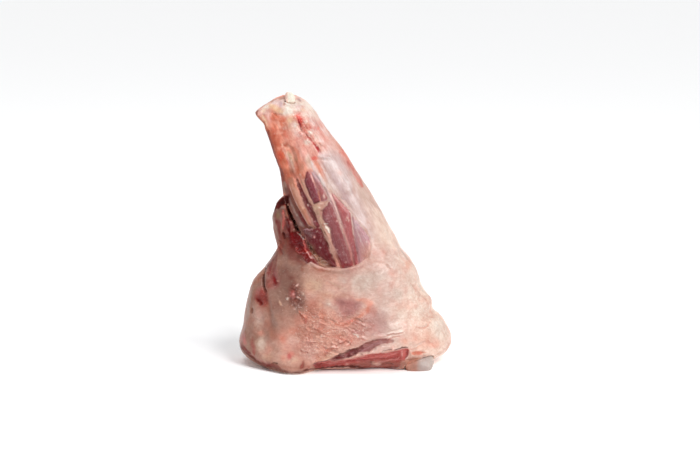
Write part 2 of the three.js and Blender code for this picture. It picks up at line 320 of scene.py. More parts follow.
# lean laid bare below the fat's edge at the front of the cut
CUT_LEAN = [(332, 359), (337, 355.6), (343, 354.6), (347, 351.8), (352, 350), (357, 349), (360, 346.4), (366, 343), (374, 340.4),
            (382, 338.8), (390, 338.8), (394, 341), (389, 343), (382, 344), (376, 347), (371, 350.6), (366, 352), (360, 352),
            (356, 353.6), (352, 356), (345, 357.4), (338, 358.6)]
CUT_RED = [(313.4, 364), (319, 361.6), (326, 360.4), (333, 360.8), (342, 359.4), (352, 358.4), (361, 356.4), (370, 354), (380, 353.2),
           (390, 352), (398, 350.2), (405, 348.8), (409, 350.4), (408.6, 356), (405.4, 360), (404, 364), (398, 367), (385, 368.4),
           (360, 367.6), (340, 367), (326, 367.6), (316, 368)]
WINDOW = [(306, 168), (301, 176), (294, 182), (288, 191), (288, 204), (292, 214), (298, 226), (304, 237),
          (310, 248), (316, 257), (321, 264), (327, 267.6), (334, 268.6), (342, 268.6), (350, 267.8), (356, 265.8),
          (362, 261.6), (367.4, 255), (369.4, 246), (366, 238), (359, 227), (351, 214), (342, 199), (331, 183), (320, 168), (313, 163)]

# fat drawn into small crinkles
CRINKLED = [(304, 304), (318, 306), (330, 313), (346, 318), (362, 317), (372, 322), (366, 336), (350, 345), (338, 354), (320, 361), (304, 356), (298, 342), (300, 322)]

# bare muscles: outline, direction of their grain in degrees, how far they swell in mm
MUSCLES = {
    "strap_upper": ([(307.6, 171.6), (305.2, 176), (304.8, 182), (306.6, 188), (309.6, 195), (312.6, 201.4), (314.6, 204), (317.2, 203), (320.6, 200.8),
                     (319.8, 197), (317.2, 190.6), (314, 182.6), (310.6, 175)], 66, 0.7),
    "strap_side": ([(312, 172), (316, 176.6), (319.8, 182.4), (323.6, 188.6), (326.2, 193.6), (327.4, 198), (325.6, 200.2), (321.4, 200.8), (320, 196.6),
                    (317.6, 190), (314.6, 182)], 64, 0.5),
    "strap_left": ([(296, 178), (299, 185), (302, 192), (305, 199.4), (308.4, 207), (312, 214), (316, 221.6), (318.6, 226), (313.6, 226.6),
                    (310.4, 219.6), (307.4, 212), (304.2, 205), (301.6, 197.6), (299, 191), (296.6, 184.6)], 66, 0.2),
    "belly_left": ([(303.6, 229.6), (312, 229), (318, 226.4), (320.6, 229.4), (324.4, 237.6), (328.4, 247), (332.6, 257), (336.6, 266.4),
                    (329, 266.4), (321.6, 263.4), (315.6, 256), (309.6, 246), (305.6, 237)], 62, 0.8),
    "belly_mid": ([(326.6, 206), (329, 201.6), (332, 204), (335, 212), (339, 222.6), (343, 234), (347, 245), (350, 255), (352.4, 265.6),
                   (346, 267.6), (341, 267.6), (338, 259), (334.6, 248), (331.4, 239.6), (330.4, 233), (330.2, 229.6), (326.6, 224.6),
                   (323, 218), (322.8, 212), (324, 208)], 70, 0.8),
    "belly_right": ([(332, 193), (336, 197.6), (342, 203.6), (347.6, 209.4), (351, 214.6), (351.6, 222), (352.6, 232), (354.8, 244), (357.2, 255),
                     (358.6, 263.6), (355.2, 265.6), (352.6, 256), (349, 244), (345, 232), (341, 220), (337, 208.6), (333.6, 199)], 70, 0.6),
    "belly_veiled": ([(352.8, 216), (357, 221.6), (362, 227.6), (367, 234.4), (370.4, 241), (369.4, 248), (366.6, 254), (362, 260.6),
                      (358.8, 262.6), (357.2, 253), (355.4, 243), (353.8, 230)], 66, 0.4),
    "cleft": ([(294, 232.6), (297, 230.6), (301.4, 234), (305.4, 240.6), (309.4, 247.6), (313.4, 255), (318, 261.6), (320.4, 265), (314, 264.4),
               (309, 262.6), (305, 262), (302.4, 257), (298, 252.6), (294.4, 246.6), (291, 239), (290.8, 233)], 55, 0.0),
    "heel_gap": ([(286, 218), (288.6, 219.6), (290, 227), (290.6, 235), (292, 243), (289, 243), (286.8, 235), (285.4, 226)], 80, -0.2),
    "cut_lean": (CUT_LEAN, -18, 0.0),
    "cut_red": (CUT_RED, -6, 0.0),
}


def patch(colour, strength, soft, outline):
    return ("patch", colour, strength, soft, outline)


def line(colour, strength, half, points):
    return ("line", colour, strength, half, points)


def spot(colour, strength, x, y, rx, ry, turn=0.0):
    return ("spot", colour, strength, (x, y, rx, ry, turn), None)


# folds in the crinkled fat: half width and the run of the crest; paint() lightens each crest, partly its own pale
# colour and partly a painted highlight, and darkens and reddens the crease under it, partly its own reddish colour and
# partly painted shade, while the relief raises the crest and sinks the crease
FOLDS = [
    (1.3, [(352.4, 319.6), (347.6, 322.4), (342, 323.8), (336.6, 322.6), (331, 320)]),
    (1.1, [(354, 321), (358, 321.6), (362, 323.6), (365, 326)]), (1.0, [(343, 326.6), (347, 327.6), (351, 330), (355, 331)]), (0.9, [(330, 327), (335, 328.4), (340, 328.8)]),
    (1.1, [(348.6, 333.6), (351, 337), (350.6, 341.6), (347, 344.6), (342.6, 344.8)]), (1.0, [(337.6, 336), (342, 337.4), (345.6, 339.6)]), (0.9, [(338, 341.4), (341, 342.6), (343.6, 341)]),
    (1.2, [(325, 349.6), (329, 347.2), (334, 346.6), (339.6, 348)]), (1.0, [(331, 342), (334, 343.6), (338, 345)]), (0.9, [(321, 344), (324, 345.6), (326.4, 348)]),
    (0.9, [(307, 341.6), (309, 340.4), (311, 341.4), (310.6, 343.4)]), (0.8, [(312.6, 342), (315, 341.4), (316.4, 343)]), (0.8, [(315, 346), (318, 347), (320.6, 349)]),
    (1.2, [(311, 311), (316, 313.6), (320, 317), (325, 317.6)]), (0.9, [(318, 322), (323, 323.4), (328, 326)]), (0.9, [(322, 332), (327, 334), (331, 335)]), (1.0, [(299, 311), (302.6, 315), (306, 319)]),
    (0.8, [(313, 327), (317, 329), (321, 330)]), (0.9, [(305, 327), (309, 330), (313, 332)]), (0.9, [(358, 338), (362, 337.6), (366, 339)]), (0.8, [(300, 349), (304, 351), (308, 351)]),
    (0.9, [(384, 335.4), (391, 333.6), (398, 332.8), (405, 331)]), (0.9, [(386, 339), (393, 336.6), (401, 335.6)])]

# marks on the shank, laid one over the other in this order; besides the shank's own colours they hold painted
# highlights and painted shade, named where they stand
MARKS = [
    # ---- leg, broad tones
    patch("fat_pale", 1.0, 9, [(300, 150), (345, 146), (362, 178), (384, 214), (402, 250), (398, 262), (372, 262), (350, 240), (320, 190)]),
    patch("salmon", 1.0, 9, [(250, 86), (322, 90), (346, 146), (330, 172), (300, 196), (280, 196), (262, 130)]),
    patch("shell", 0.9, 6, [(296, 96), (318, 100), (340, 138), (350, 158), (330, 160), (314, 150), (304, 130)]),
    patch("gum", 0.9, 4, [(290, 118), (300, 126), (306, 136), (313, 146), (319, 156), (312, 162), (304, 160), (298, 150), (294, 140), (290, 130)]),
    # ---- hock end
    patch("ivory", 0.95, 3.5, [(283, 99), (298, 97), (306, 100), (312, 107), (305, 113), (296, 114), (288, 116.6), (281, 113.6), (281, 105)]),
    patch("milk", 0.7, 3, [(258, 112), (262, 107), (268, 103), (276, 100), (284, 99), (284, 106), (278, 106), (271, 108), (266, 113), (261, 114)]),
    patch("straw", 0.95, 2.0, [(268, 105.6), (273, 104.6), (277, 107), (282, 110), (283, 112.6), (278, 112.4), (271, 109.6)]),
    spot("milk", 0.9, 276, 102.6, 3.4, 2.4, -10), spot("lilac", 0.75, 281, 104.6, 2.4, 2.8), spot("ivory", 1.0, 266.8, 108, 3, 2.2, -30), spot("straw", 0.7, 264.4, 110.4, 2.6, 1.8, -30),
    spot("blush", 0.9, 267.4, 113, 3.2, 2.6), spot("tan_pale", 0.6, 263.4, 114.4, 1.6, 0.9, -20), spot("shell", 0.5, 284.4, 105.6, 1.2, 2.6), spot("peach", 0.7, 284, 109, 2, 2),
    spot("ivory", 1.0, 289.4, 111, 5, 3.6), spot("milk", 0.9, 297.6, 107.4, 3, 2.4), spot("straw", 0.5, 302.6, 109.8, 2.2, 1.6), spot("pink", 0.45, 302, 106.2, 2.0, 0.9, 20),
    spot("veiled", 0.85, 299.6, 99.6, 2.4, 1.3, 25), spot("pink", 0.5, 297, 98.4, 1.6, 1.0), spot("gum", 0.6, 294, 112.6, 1.6, 2.6),
    line("brown", 0.85, 0.6, [(287, 101.8), (291, 102.4), (295.6, 102.6)]), spot("umber", 0.95, 286.2, 101, 1.6, 0.9, 10),
    line("tan_pale", 0.8, 0.9, [(284.8, 102.4), (285.2, 105.4)]), line("tan_pale", 0.85, 1.1, [(278, 99), (282, 98.2), (285.6, 98.4)]),
    line("tan_pale", 0.8, 1.0, [(260, 108.6), (265, 105), (270, 102), (276, 99.4)]), line("umber", 0.8, 1.1, [(256, 115.6), (256, 112.8), (257.6, 110.4)]),
    line("peach", 0.85, 2.6, [(261, 116.6), (265, 122), (268.6, 129)]), line("straw", 0.5, 1.5, [(262, 116), (266, 122), (269, 128)]),
    patch("tan", 0.95, 1.5, [(254, 115), (257, 115.4), (260.2, 117.6), (264, 121), (267, 125.6), (269.2, 130.8), (271, 136), (262, 138), (256, 130), (252, 121)]),
    # ---- salmon and orange hollow below it
    patch("salmon", 1.0, 3, [(269, 112), (277, 112), (284, 116), (292, 118), (297, 130), (300, 142), (290, 142), (280, 140), (272, 136), (268, 124)]),
    patch("coral", 0.95, 2.5, [(272, 114), (278, 116), (284, 117.6), (289, 119), (288, 127), (285, 135), (278, 136), (273, 134), (271.6, 124)]),
    line("rust", 0.9, 1.0, [(273.6, 112.6), (275.4, 114), (277.4, 116.4)]), line("orange", 0.8, 1.5, [(272.6, 115), (273.4, 119), (275, 122), (275, 128)]), spot("blush", 0.6, 269, 117, 1.8, 4, -15),
    line("salmon", 0.75, 0.9, [(276, 118), (280, 119), (283, 118.4)]), line("coral", 0.9, 1.5, [(274.6, 121), (276.4, 126), (278, 131)]), line("peach", 0.6, 1.0, [(278.6, 121), (279.4, 126), (280, 130)]), line("peach", 0.5, 0.9, [(285.6, 121), (285.8, 127), (287, 133)]), spot("orange", 0.85, 283, 123.4, 3, 4.2), spot("salmon", 0.6, 278.4, 126, 1.2, 3), spot("ember", 0.4, 275.4, 124.6, 1.8, 3), spot("ember", 0.35, 275, 131, 2, 2),
    spot("orange", 0.65, 281.6, 130, 2, 2.4), spot("peach", 0.7, 281.6, 132.6, 1.6, 0.9), line("peach", 0.7, 0.9, [(271.6, 133.6), (275, 134.2), (278, 134)]), line("brown", 0.5, 0.7, [(281, 134), (284, 135.6)]),
    patch("peach", 0.9, 2.6, [(287, 116), (294, 116), (297, 123), (300, 131), (296, 137), (291, 131), (287.4, 123)]),
    spot("straw", 0.8, 290, 120.6, 2.4, 3), spot("blush", 0.95, 292.4, 123.6, 2.2, 2), spot("sand_light", 0.6, 288.6, 126.6, 1.0, 1.4), spot("fat_pale", 0.8, 295.4, 126.4, 1.6, 2.2), spot("coral", 0.4, 291.4, 135, 1.6, 1.4),
    spot("salmon", 0.6, 289, 133, 3, 3), spot("fat_flesh", 0.5, 287, 141, 4, 3), spot("blush", 0.6, 297, 133.6, 2.4, 3), spot("gum", 0.8, 300, 136, 3, 4, -25),
    patch("gum", 0.7, 4, [(303, 112), (309, 108), (316, 114), (324, 128), (331, 141), (326, 146), (316, 140), (308, 130), (303, 121)]),
    patch("milk", 0.6, 4, [(306, 104), (316, 110), (330, 132), (334, 146), (322, 140), (311, 122)]), spot("blush", 0.7, 317, 118, 5, 8, -25),
    # ---- torn streak
    spot("scarlet", 1.0, 298.4, 116.6, 3.0, 3.4, -10), line("scarlet", 1.0, 2.4, [(299, 117), (300.6, 121.6), (301.8, 126), (303, 129)]), spot("gum", 0.5, 297.4, 113.6, 2, 1.4),
    line("crimson", 1.0, 1.3, [(298.6, 119), (299.2, 122.4), (300, 124.8), (300.8, 127)]), line("scarlet", 0.9, 0.9, [(301, 119), (302, 123), (302.8, 127)]),
    patch("salmon", 0.9, 1.6, [(302, 122), (305, 125), (309, 129), (306, 131), (302.6, 128.6), (301, 125)]), spot("scarlet", 0.5, 304, 126, 1.6, 2, -30), line("brick", 0.8, 0.7, [(305.4, 126.6), (307.2, 129)]),
    line("maroon", 0.8, 0.55, [(300.4, 127.4), (301.2, 129.4), (302.4, 131.4)]), line("scarlet", 0.6, 1.1, [(303, 128.6), (304.6, 131), (306.4, 133.4)]), spot("gum", 0.5, 303.6, 134, 2.4, 1.8),
    line("chestnut", 0.8, 0.7, [(305.6, 133.6), (307.4, 135.4), (308.6, 137)]), line("streak_red", 0.95, 1.3, [(307.6, 137), (309.6, 139.2), (311.2, 141)]),
    line("rose", 0.85, 1.2, [(311, 141), (313, 143.6), (315, 145.4)]), line("brick", 1.0, 1.1, [(314.6, 144.8), (316.8, 148), (319, 151), (320.2, 153.4)]),
    line("crimson", 0.4, 0.6, [(316, 147.4), (319, 151.4)]), line("tan", 0.75, 0.8, [(318.6, 142.6), (320.2, 144.6), (322.8, 146.6)]),
    line("pink", 0.8, 1.5, [(320, 153.4), (322.6, 155.6), (327, 156.8)]), line("milk", 0.75, 1.0, [(318, 156), (323, 157), (330, 158), (336, 158.4)]),
    line("fat_flesh", 0.7, 0.8, [(320, 158.4), (326, 159.4)]), spot("rose", 0.6, 310, 127.6, 1.6, 1.0, 30), spot("rose", 0.5, 315, 127, 1.4, 1.0, 40), spot("pink", 0.7, 318.4, 129, 1.4, 2.4, -20),
    spot("ivory", 0.85, 309.6, 132.4, 2.2, 1.8), spot("milk", 0.85, 313, 130.6, 2.4, 2), spot("fat_stone", 0.7, 316, 137, 3, 2, 20), spot("milk", 0.8, 322, 140.4, 3, 2.4, 30), spot("ivory", 0.75, 307.6, 142.4, 3, 2.4),
    spot("ivory", 0.6, 305.6, 121.6, 1.8, 1.2), spot("straw", 0.4, 308, 124, 1.4, 1.2), spot("gum", 0.7, 312.6, 137.6, 1.6, 1.6), spot("pink", 0.5, 316, 122, 2.0, 3, -25),
    line("pink", 0.4, 1.1, [(310, 120), (313, 125), (317, 130)]), spot("rose", 0.45, 318.4, 129, 1.2, 2.6, -20), line("milk", 0.65, 1.1, [(309, 116), (313, 122), (317, 128)]), spot("ivory", 0.8, 305.4, 115, 2.4, 1.8), spot("ivory", 0.7, 294.6, 124.4, 1.8, 3),
    line("gum", 0.75, 2.2, [(318, 128), (324, 136), (330, 144), (335, 151)]), line("milk", 0.4, 1.2, [(322, 127), (328, 136)]),
    patch("tan_pale", 0.5, 1.2, [(311, 107), (315.4, 112.6), (319.6, 119), (325, 127), (331, 135.4), (337, 143), (344, 151.6), (352, 152), (340, 136), (326, 116), (316, 104)]),
    patch("milk", 0.6, 4, [(324, 146), (330, 144), (338, 150), (342, 160), (332, 160), (326, 153)]), line("brick", 0.95, 1.2, [(314.6, 144.8), (316.8, 148), (319, 151), (320.6, 153.4)]), line("crimson", 0.6, 0.6, [(316.4, 147.4), (318.6, 150.6), (320, 152.6)]),
    spot("gum", 0.6, 325.6, 140, 3, 5, -30),
    # ---- orange strip along the shin's back edge
    patch("orange", 0.9, 3.5, [(268, 130), (276, 134), (283, 142), (287, 152), (290, 164), (292, 176), (286, 180), (280, 166), (274, 148)]),
    spot("flame", 0.5, 274.6, 138, 4, 3.4), spot("rust", 0.5, 272.6, 141, 2.4, 4, -15), spot("coral", 0.6, 281, 140, 4, 3),
    patch("flame", 0.9, 2.2, [(277.6, 152), (281, 151), (284, 155), (284.4, 160), (281, 162.4), (278.6, 158)]),
    line("salmon", 0.7, 1.2, [(276, 147), (280, 148), (284, 146)]), spot("coral", 0.7, 284.6, 166, 3, 5, -20), spot("salmon", 0.6, 286, 138, 5, 3),
    line("peach", 0.85, 1.7, [(281.4, 144), (284.4, 149.6), (287, 155), (289.4, 160)]), spot("tan", 0.8, 286.6, 145, 3.2, 2.2, 40), spot("coral", 0.5, 282, 137, 3, 2.4), spot("tan_pale", 0.7, 290.4, 165, 2, 4, -15), spot("gum", 0.7, 299, 140, 4, 4),
    line("sand_green", 0.9, 1.5, [(288, 151), (290.6, 156.6), (292.4, 162), (294.4, 168)]), line("blush", 0.5, 0.8, [(291.4, 159.6), (293.6, 166), (294.6, 169)]),
    line("brown", 0.65, 2.6, [(289.6, 146.4), (292.8, 151), (295.4, 156.6), (296.6, 162.6)]), spot("moss", 0.5, 295.8, 160.6, 1.6, 2.6, -15), line("coral", 0.75, 1.5, [(294.6, 147), (297.8, 153), (299.4, 160), (300.4, 168)]),
    line("coral", 0.7, 1.2, [(286.6, 161), (288.4, 166), (289.6, 171)]), line("pink", 0.7, 0.9, [(286.6, 157), (288.4, 161.6), (289.8, 166)]),
    spot("brown", 0.95, 292, 171.6, 2.3, 4, -15), spot("rust", 0.9, 297.8, 169.6, 2.0, 7, -12), spot("rust", 0.8, 295.4, 176, 2.4, 3), spot("orange", 0.7, 302, 176, 1.6, 4, -15), spot("maroon", 0.85, 296.8, 180, 1.3, 1.4),
    spot("gum", 0.8, 304, 153, 3, 5, -20), spot("coral", 0.4, 303.4, 162, 2.4, 2.4), spot("tan", 0.5, 302, 167, 2, 4, -15), spot("tan", 0.4, 300.6, 172, 2.4, 5, -15), spot("ivory", 0.6, 306.6, 142.6, 2.4, 2.2), spot("coral", 0.4, 303.6, 146, 2, 1.6),
    patch("fat_cream", 0.85, 2.5, [(306, 154), (310, 155), (312.4, 162), (312, 168), (308, 168), (306, 161)]), spot("sand_light", 0.5, 308.6, 161, 2, 3, -15), spot("salmon", 0.5, 311.4, 153, 1.4, 2.6, -10),
    spot("rose", 0.95, 314, 158.4, 2.8, 2.3), spot("scarlet", 0.5, 313.6, 158.6, 1.8, 1.4), spot("salmon", 0.6, 316.2, 162, 1.6, 1.8),
    patch("rust", 0.6, 3, [(283, 170), (290, 172), (293, 182), (290, 190), (286, 186)]), line("maroon", 0.5, 1.2, [(287, 180), (288.6, 186), (290, 191)]),
    # along the leg's left edge, which faces away from the key light, the rusty band and the dark chestnut edge are
    # partly the fat's own darker orange and partly painted shade
    patch("rust", 0.75, 4, [(267, 128), (272.6, 136), (275, 143), (277, 149), (278.6, 155), (281.6, 162), (284, 168), (286, 174), (288, 184), (280, 192), (270, 176), (262, 158), (258, 138)]), spot("flame", 0.35, 281, 156.6, 2.6, 4, -15), spot("tan", 0.5, 284.6, 161, 2, 3, -15), spot("rust", 0.5, 274.4, 146, 3.4, 6, -15), spot("tan", 0.4, 294, 164, 3, 6, -15),
    patch("chestnut", 1.0, 1.8, [(268.6, 130), (271.2, 136), (273.2, 142), (275.2, 149), (277, 155), (280, 162), (282.4, 168), (284.2, 174), (285.4, 182), (287.4, 192), (276, 192), (270, 176), (262, 158), (258, 138)]),
    patch("ash", 0.7, 1.2, [(282.8, 182), (285, 182), (286.2, 187), (287.4, 193), (284, 193), (282, 187)]),
    # ---- right edge of the leg
    line("rose", 0.5, 3.4, [(340, 152), (344, 161), (349, 170)]), line("rose", 0.7, 2.6, [(342, 150), (347, 159), (352, 168), (357, 177), (362, 186)]), line("brick", 0.6, 1.5, [(347.6, 161), (351, 167), (353.4, 171)]),
    line("pink", 0.35, 2.6, [(352, 170), (357, 179), (361, 187)]), spot("fat_stone", 0.4, 366, 198, 4, 8, -30),
    # ---- silverskin
    patch("silver", 0.95, 4, [(320, 156), (330, 152), (341, 156), (348, 168), (352, 180), (356, 192), (362, 206), (368, 220), (372, 234), (370, 240),
                              (362, 228), (352, 213), (342, 200), (334, 188), (326, 174)]),
    # the broad pale line from (328, 157) to (342, 181) is the silverskin's own pale colour with a painted sheen on it
    line("silver_grey", 0.55, 1.8, [(320.6, 161), (325, 168), (330, 176), (335, 185)]), line("silver_white", 0.5, 2.6, [(328, 157), (334, 165), (339, 173), (342, 181)]),
    line("lilac", 0.4, 2.4, [(331, 172), (337, 182), (344, 193), (350, 203)]), line("silver_white", 0.5, 1.6, [(342, 170), (347, 182), (351, 194)]),
    line("silver_grey", 0.3, 1.3, [(337, 186), (344, 197), (350, 206), (356, 214)]), line("silver_white", 0.2, 1.5, [(349, 190), (356, 202), (362, 215)]),
    line("fat_rosy", 0.5, 1.2, [(351, 178), (353.4, 187), (354.6, 196)]), line("silver_grey", 0.45, 1.5, [(360, 204), (366, 217), (370, 229)]),
    spot("blush", 0.6, 339.6, 173, 2.4, 3, -30), spot("lilac", 0.4, 345, 198, 4, 5, -30),
    line("silver_white", 0.6, 1.2, [(317, 160), (322, 167.6), (327, 175), (332, 184), (336.6, 192.4)]),
    line("tan_pale", 0.55, 1.0, [(326.6, 186), (331.6, 193), (335, 197.4)]),
    # ---- membranes and tendons at the left of the window
    patch("membrane", 0.95, 1.3, [(284.6, 188), (288, 190), (291.6, 198), (295.6, 207), (300.6, 216.4), (305.6, 225), (307, 230), (311.6, 237), (317, 245),
                                  (322, 254), (326, 262), (321, 263), (315, 254.6), (309, 245), (303, 235), (297.4, 225.4), (292.4, 214.6), (288.4, 203)]),
    line("ash", 0.5, 1.0, [(289.6, 199), (292.6, 207), (296.4, 215)]), spot("ash", 0.7, 297, 215, 1.1, 1.4), spot("ash", 0.4, 301, 224, 1.2, 2, -25),
    patch("umber", 0.85, 1.2, [(287, 184), (290, 190), (293, 197), (296.6, 205), (300.4, 212), (304, 218), (307.6, 224), (310, 228), (305, 227), (300.6, 220), (296.4, 211), (293, 204), (290, 196), (287, 190)]),
    patch("tan", 0.97, 0.9, [(288.4, 178), (290.8, 187), (293.6, 195), (296.8, 202.6), (300, 209), (303.4, 213.6), (306.4, 218.4), (309.6, 224), (314, 229), (315, 228),
                             (312.4, 221.6), (309.2, 215.6), (305.8, 209.6), (302.8, 203.6), (299.8, 196), (297, 189), (295, 183), (292, 177)]),
    line("sand", 0.8, 1.5, [(293, 184), (296.6, 192), (300, 199.6), (303.6, 207)]), line("tan_pale", 0.5, 0.8, [(295, 187), (298.6, 194.6), (302, 202)]), spot("sand_light", 0.5, 303.6, 208, 0.9, 1.1),
    line("mauve", 0.5, 1.0, [(306, 212), (309.4, 218.6), (312.6, 225)]),
    line("maroon", 0.7, 0.7, [(289.6, 188), (292.6, 196), (295.8, 203), (299, 209.6)]), patch("plum_dark", 0.85, 1.1, [(298.6, 210.6), (302.4, 213.6), (305.4, 218.6), (308, 223.6), (309, 227), (305.6, 226), (302, 221), (299.4, 216)]),
    line("umber", 0.8, 1.0, [(304.6, 225.4), (308, 227), (311.6, 227.6)]),
    line("sand", 0.95, 2.0, [(300, 174), (303, 181), (306, 188), (309.4, 195.6), (313.4, 203)]), line("tan_pale", 0.6, 0.8, [(303, 182), (306, 189), (309, 196)]), line("olive", 0.7, 1.0, [(301.6, 180), (304, 186), (307, 193)]), line("rust", 0.5, 1.0, [(302, 174), (303.6, 179)]),
    patch("plum_dark", 0.95, 0.8, [(297, 181), (300, 184.6), (303.4, 191), (306.6, 197), (310, 202.6), (313, 206.6), (315.4, 213), (317.6, 220), (319.6, 226.6), (315.6, 227), (313.2, 221.6), (309.6, 214.6), (306, 207.6), (302.8, 200.6), (299.4, 192), (297, 186)]), spot("umber", 0.8, 310, 227.4, 2.6, 1.6, 20),
    # the near-black spot at (296.6, 179.6), at the top of a sunk groove, is painted shade, and the glint spot at (308,
    # 205.2) a painted highlight
    spot("crease_shade", 0.7, 296.6, 179.6, 1.0, 1.8, -20), spot("brown", 0.6, 297.6, 183, 1.0, 1.0), spot("plum", 0.7, 304.6, 196, 1.4, 2.6, -25), spot("plum", 0.6, 309.6, 208, 1.6, 3, -25), spot("glint", 0.8, 308, 205.2, 0.8, 0.9), spot("veiled", 0.6, 310.8, 206.2, 0.8, 0.7),
    line("chestnut", 0.7, 0.9, [(311.6, 210), (314, 215), (316, 219.6)]), line("veiled", 0.35, 0.4, [(313, 221.6), (317, 221.4), (321, 221.8)]), spot("plum", 0.6, 318, 224, 1.6, 1.6),
    # ---- muscles of the window
    patch("plum", 1.0, 0.9, MUSCLES["strap_upper"][0]), spot("mauve_dark", 0.45, 308, 176, 2, 4, -20), spot("plum_dark", 0.5, 313.4, 194, 1.4, 7, -25),
    line("wine_dark", 0.75, 0.8, [(305.4, 178), (306, 184.4), (308.6, 191), (311.8, 198.6)]), line("wine_dark", 0.85, 0.9, [(313.4, 203.6), (316.6, 203), (320, 201)]),
    patch("lean_pink", 1.0, 0.9, MUSCLES["strap_side"][0]), spot("lilac", 0.85, 313.6, 175.4, 1.8, 4.4, -30), spot("veiled", 0.7, 317, 180, 1.6, 3, -30), spot("brick", 0.5, 321, 192, 1.6, 4, -25),
    patch("wine", 1.0, 1.2, MUSCLES["belly_left"][0]), patch("membrane_dark", 0.85, 2.4, [(303, 229), (312, 230), (313, 236), (311, 243), (316, 252), (322, 260), (319, 262), (311, 249), (306, 238)]),
    spot("plum_dark", 0.6, 320, 236, 3, 7, -25), spot("wine_dark", 0.6, 325, 244, 1.8, 6, -25), spot("wine_dark", 0.6, 330.4, 258, 2, 7, -25), spot("lean_low", 0.4, 323, 256, 3, 5, -25), spot("mauve_dark", 0.5, 329, 263, 2.6, 2.4),
    line("wine_dark", 0.85, 1.0, [(320, 228), (324, 237), (328, 246.4), (332, 256.4), (336, 265.6)]), spot("moss", 0.5, 312, 247, 3, 4, -40),
    # the dark line from (316, 261) to (332, 267.2), just above the fat's lip, is painted shadow
    line("sand", 0.75, 1.3, [(315, 253.6), (318.6, 257.4), (323, 261.4), (327, 264)]), line("olive", 0.5, 1.4, [(319, 260), (324, 264)]), line("umber", 0.9, 0.9, [(316, 261), (320, 265), (325, 266.8), (332, 267.2)]),
    # the ivory speck at (312.8, 247.2) and the glint spots are painted highlights
    line("veiled", 0.8, 0.5, [(303.4, 229.4), (308, 229.2), (312.6, 229.4)]), spot("pink", 0.75, 315.2, 236.2, 0.8, 1.2), spot("ivory", 0.8, 312.8, 247.2, 0.7, 0.7), spot("glint", 0.45, 321, 247, 0.7, 0.7), spot("glint", 0.4, 317.6, 230.6, 0.7, 0.6),
    spot("mauve", 0.5, 312.6, 234.6, 1.0, 0.8), spot("mauve", 0.4, 321.4, 240, 0.9, 0.9),
    patch("lean", 1.0, 1.0, MUSCLES["belly_mid"][0]), spot("lean_pink", 0.5, 330, 210, 2.4, 6, -14), spot("lean_low", 1.0, 344, 256, 6, 14, -20), spot("plum", 0.35, 344, 258, 5, 10, -20), spot("lean_low", 0.4, 338, 241, 3, 8, -20),
    line("veiled", 0.55, 0.5, [(325.6, 216), (328.6, 215.6), (331.6, 216)]), line("veiled", 0.6, 0.5, [(325.4, 219), (328, 218.8)]), line("veiled", 0.4, 0.4, [(327, 221.6), (331.6, 221)]), line("lean_low", 0.5, 0.7, [(327.6, 208), (329, 213), (332, 220)]),
    # glint spots: painted highlights
    line("wine_dark", 0.6, 0.8, [(331.6, 240.6), (335, 250), (338.4, 260), (340.6, 267)]), spot("glint", 0.7, 336.8, 249.4, 0.9, 0.6), spot("glint", 0.7, 337, 220.8, 0.8, 0.8), spot("glint", 0.4, 342.6, 252.6, 0.6, 0.6), spot("glint", 0.4, 346.4, 262, 0.6, 0.9),
    patch("rosewood", 1.0, 1.0, MUSCLES["belly_right"][0]), spot("pink", 0.6, 334.6, 197.6, 1.8, 3.4, -35), spot("brick", 0.5, 341, 207, 4, 4, 40), spot("rosewood_low", 0.85, 355, 252, 2.4, 13, -8),
    line("rosewood_low", 0.4, 0.7, [(351.6, 222), (352.4, 230), (354.4, 240), (357, 254)]),
    # glint spots: painted highlights on the wet muscle
    spot("glint", 0.9, 347, 217.6, 0.9, 1.5), spot("glint", 0.85, 348.4, 219.8, 0.7, 1.4), spot("glint", 0.5, 346, 219.8, 0.6, 0.8),
    patch("veiled", 1.0, 1.0, MUSCLES["belly_veiled"][0]), spot("lilac", 0.75, 357, 224, 2.6, 6, -25), spot("lilac", 0.45, 364, 236, 2.6, 5, -30), spot("mauve", 0.6, 362.6, 256, 3, 5, -30),
    line("silver", 0.6, 0.6, [(354, 222), (357, 231), (361, 241), (365, 250)]), line("mauve", 0.5, 0.8, [(358.4, 240), (360.4, 250), (361.4, 258)]), spot("silver_white", 0.7, 366.6, 241.4, 1.1, 0.9), spot("mauve_dark", 0.6, 366, 256, 1.5, 1.3),
    # ---- fascia lines
    # the glint lines and spots among the fascia lines are painted highlights
    line("pink", 1.0, 1.0, [(309.4, 171.6), (313.2, 179), (316, 185.6), (318, 191)]), line("glint", 0.5, 0.5, [(311, 175), (315, 183)]), line("orange", 0.7, 0.7, [(317.6, 190), (319.2, 195), (320.6, 200)]),
    line("silver_white", 0.95, 2.0, [(311, 162), (315, 169), (319, 176), (323, 182.8), (326, 188)]), line("lilac", 0.8, 0.9, [(314, 171), (317, 176.4), (320.6, 182)]),
    line("veiled", 0.95, 1.4, [(325, 186.6), (328, 192), (331, 198.6), (334.4, 206), (337.6, 214), (341, 223)]), line("glint", 0.75, 0.8, [(327, 189), (331.4, 198), (335.4, 207), (339, 217), (342, 226)]), line("silver", 0.6, 0.8, [(325, 186), (328, 191.6), (330.6, 197)]),
    line("mauve", 0.95, 1.1, [(341, 223), (344.6, 232), (347.6, 241), (350.6, 251), (353.6, 263)]), line("pink", 0.7, 0.6, [(342, 226), (346, 237), (350, 249), (353, 261)]),
    line("fat_rosy", 0.9, 1.1, [(336, 196), (343, 202.6), (349, 208.6), (355, 216.6), (362, 225.6), (368, 233.6), (371.4, 240)]), line("silver_white", 0.5, 0.6, [(340, 200), (349, 209), (357, 219), (365, 230)]),
    spot("glint", 0.9, 324.4, 196, 0.9, 1.9), spot("veiled", 0.6, 326.4, 200, 2.4, 0.8),
    # ---- red of the cut and its streak
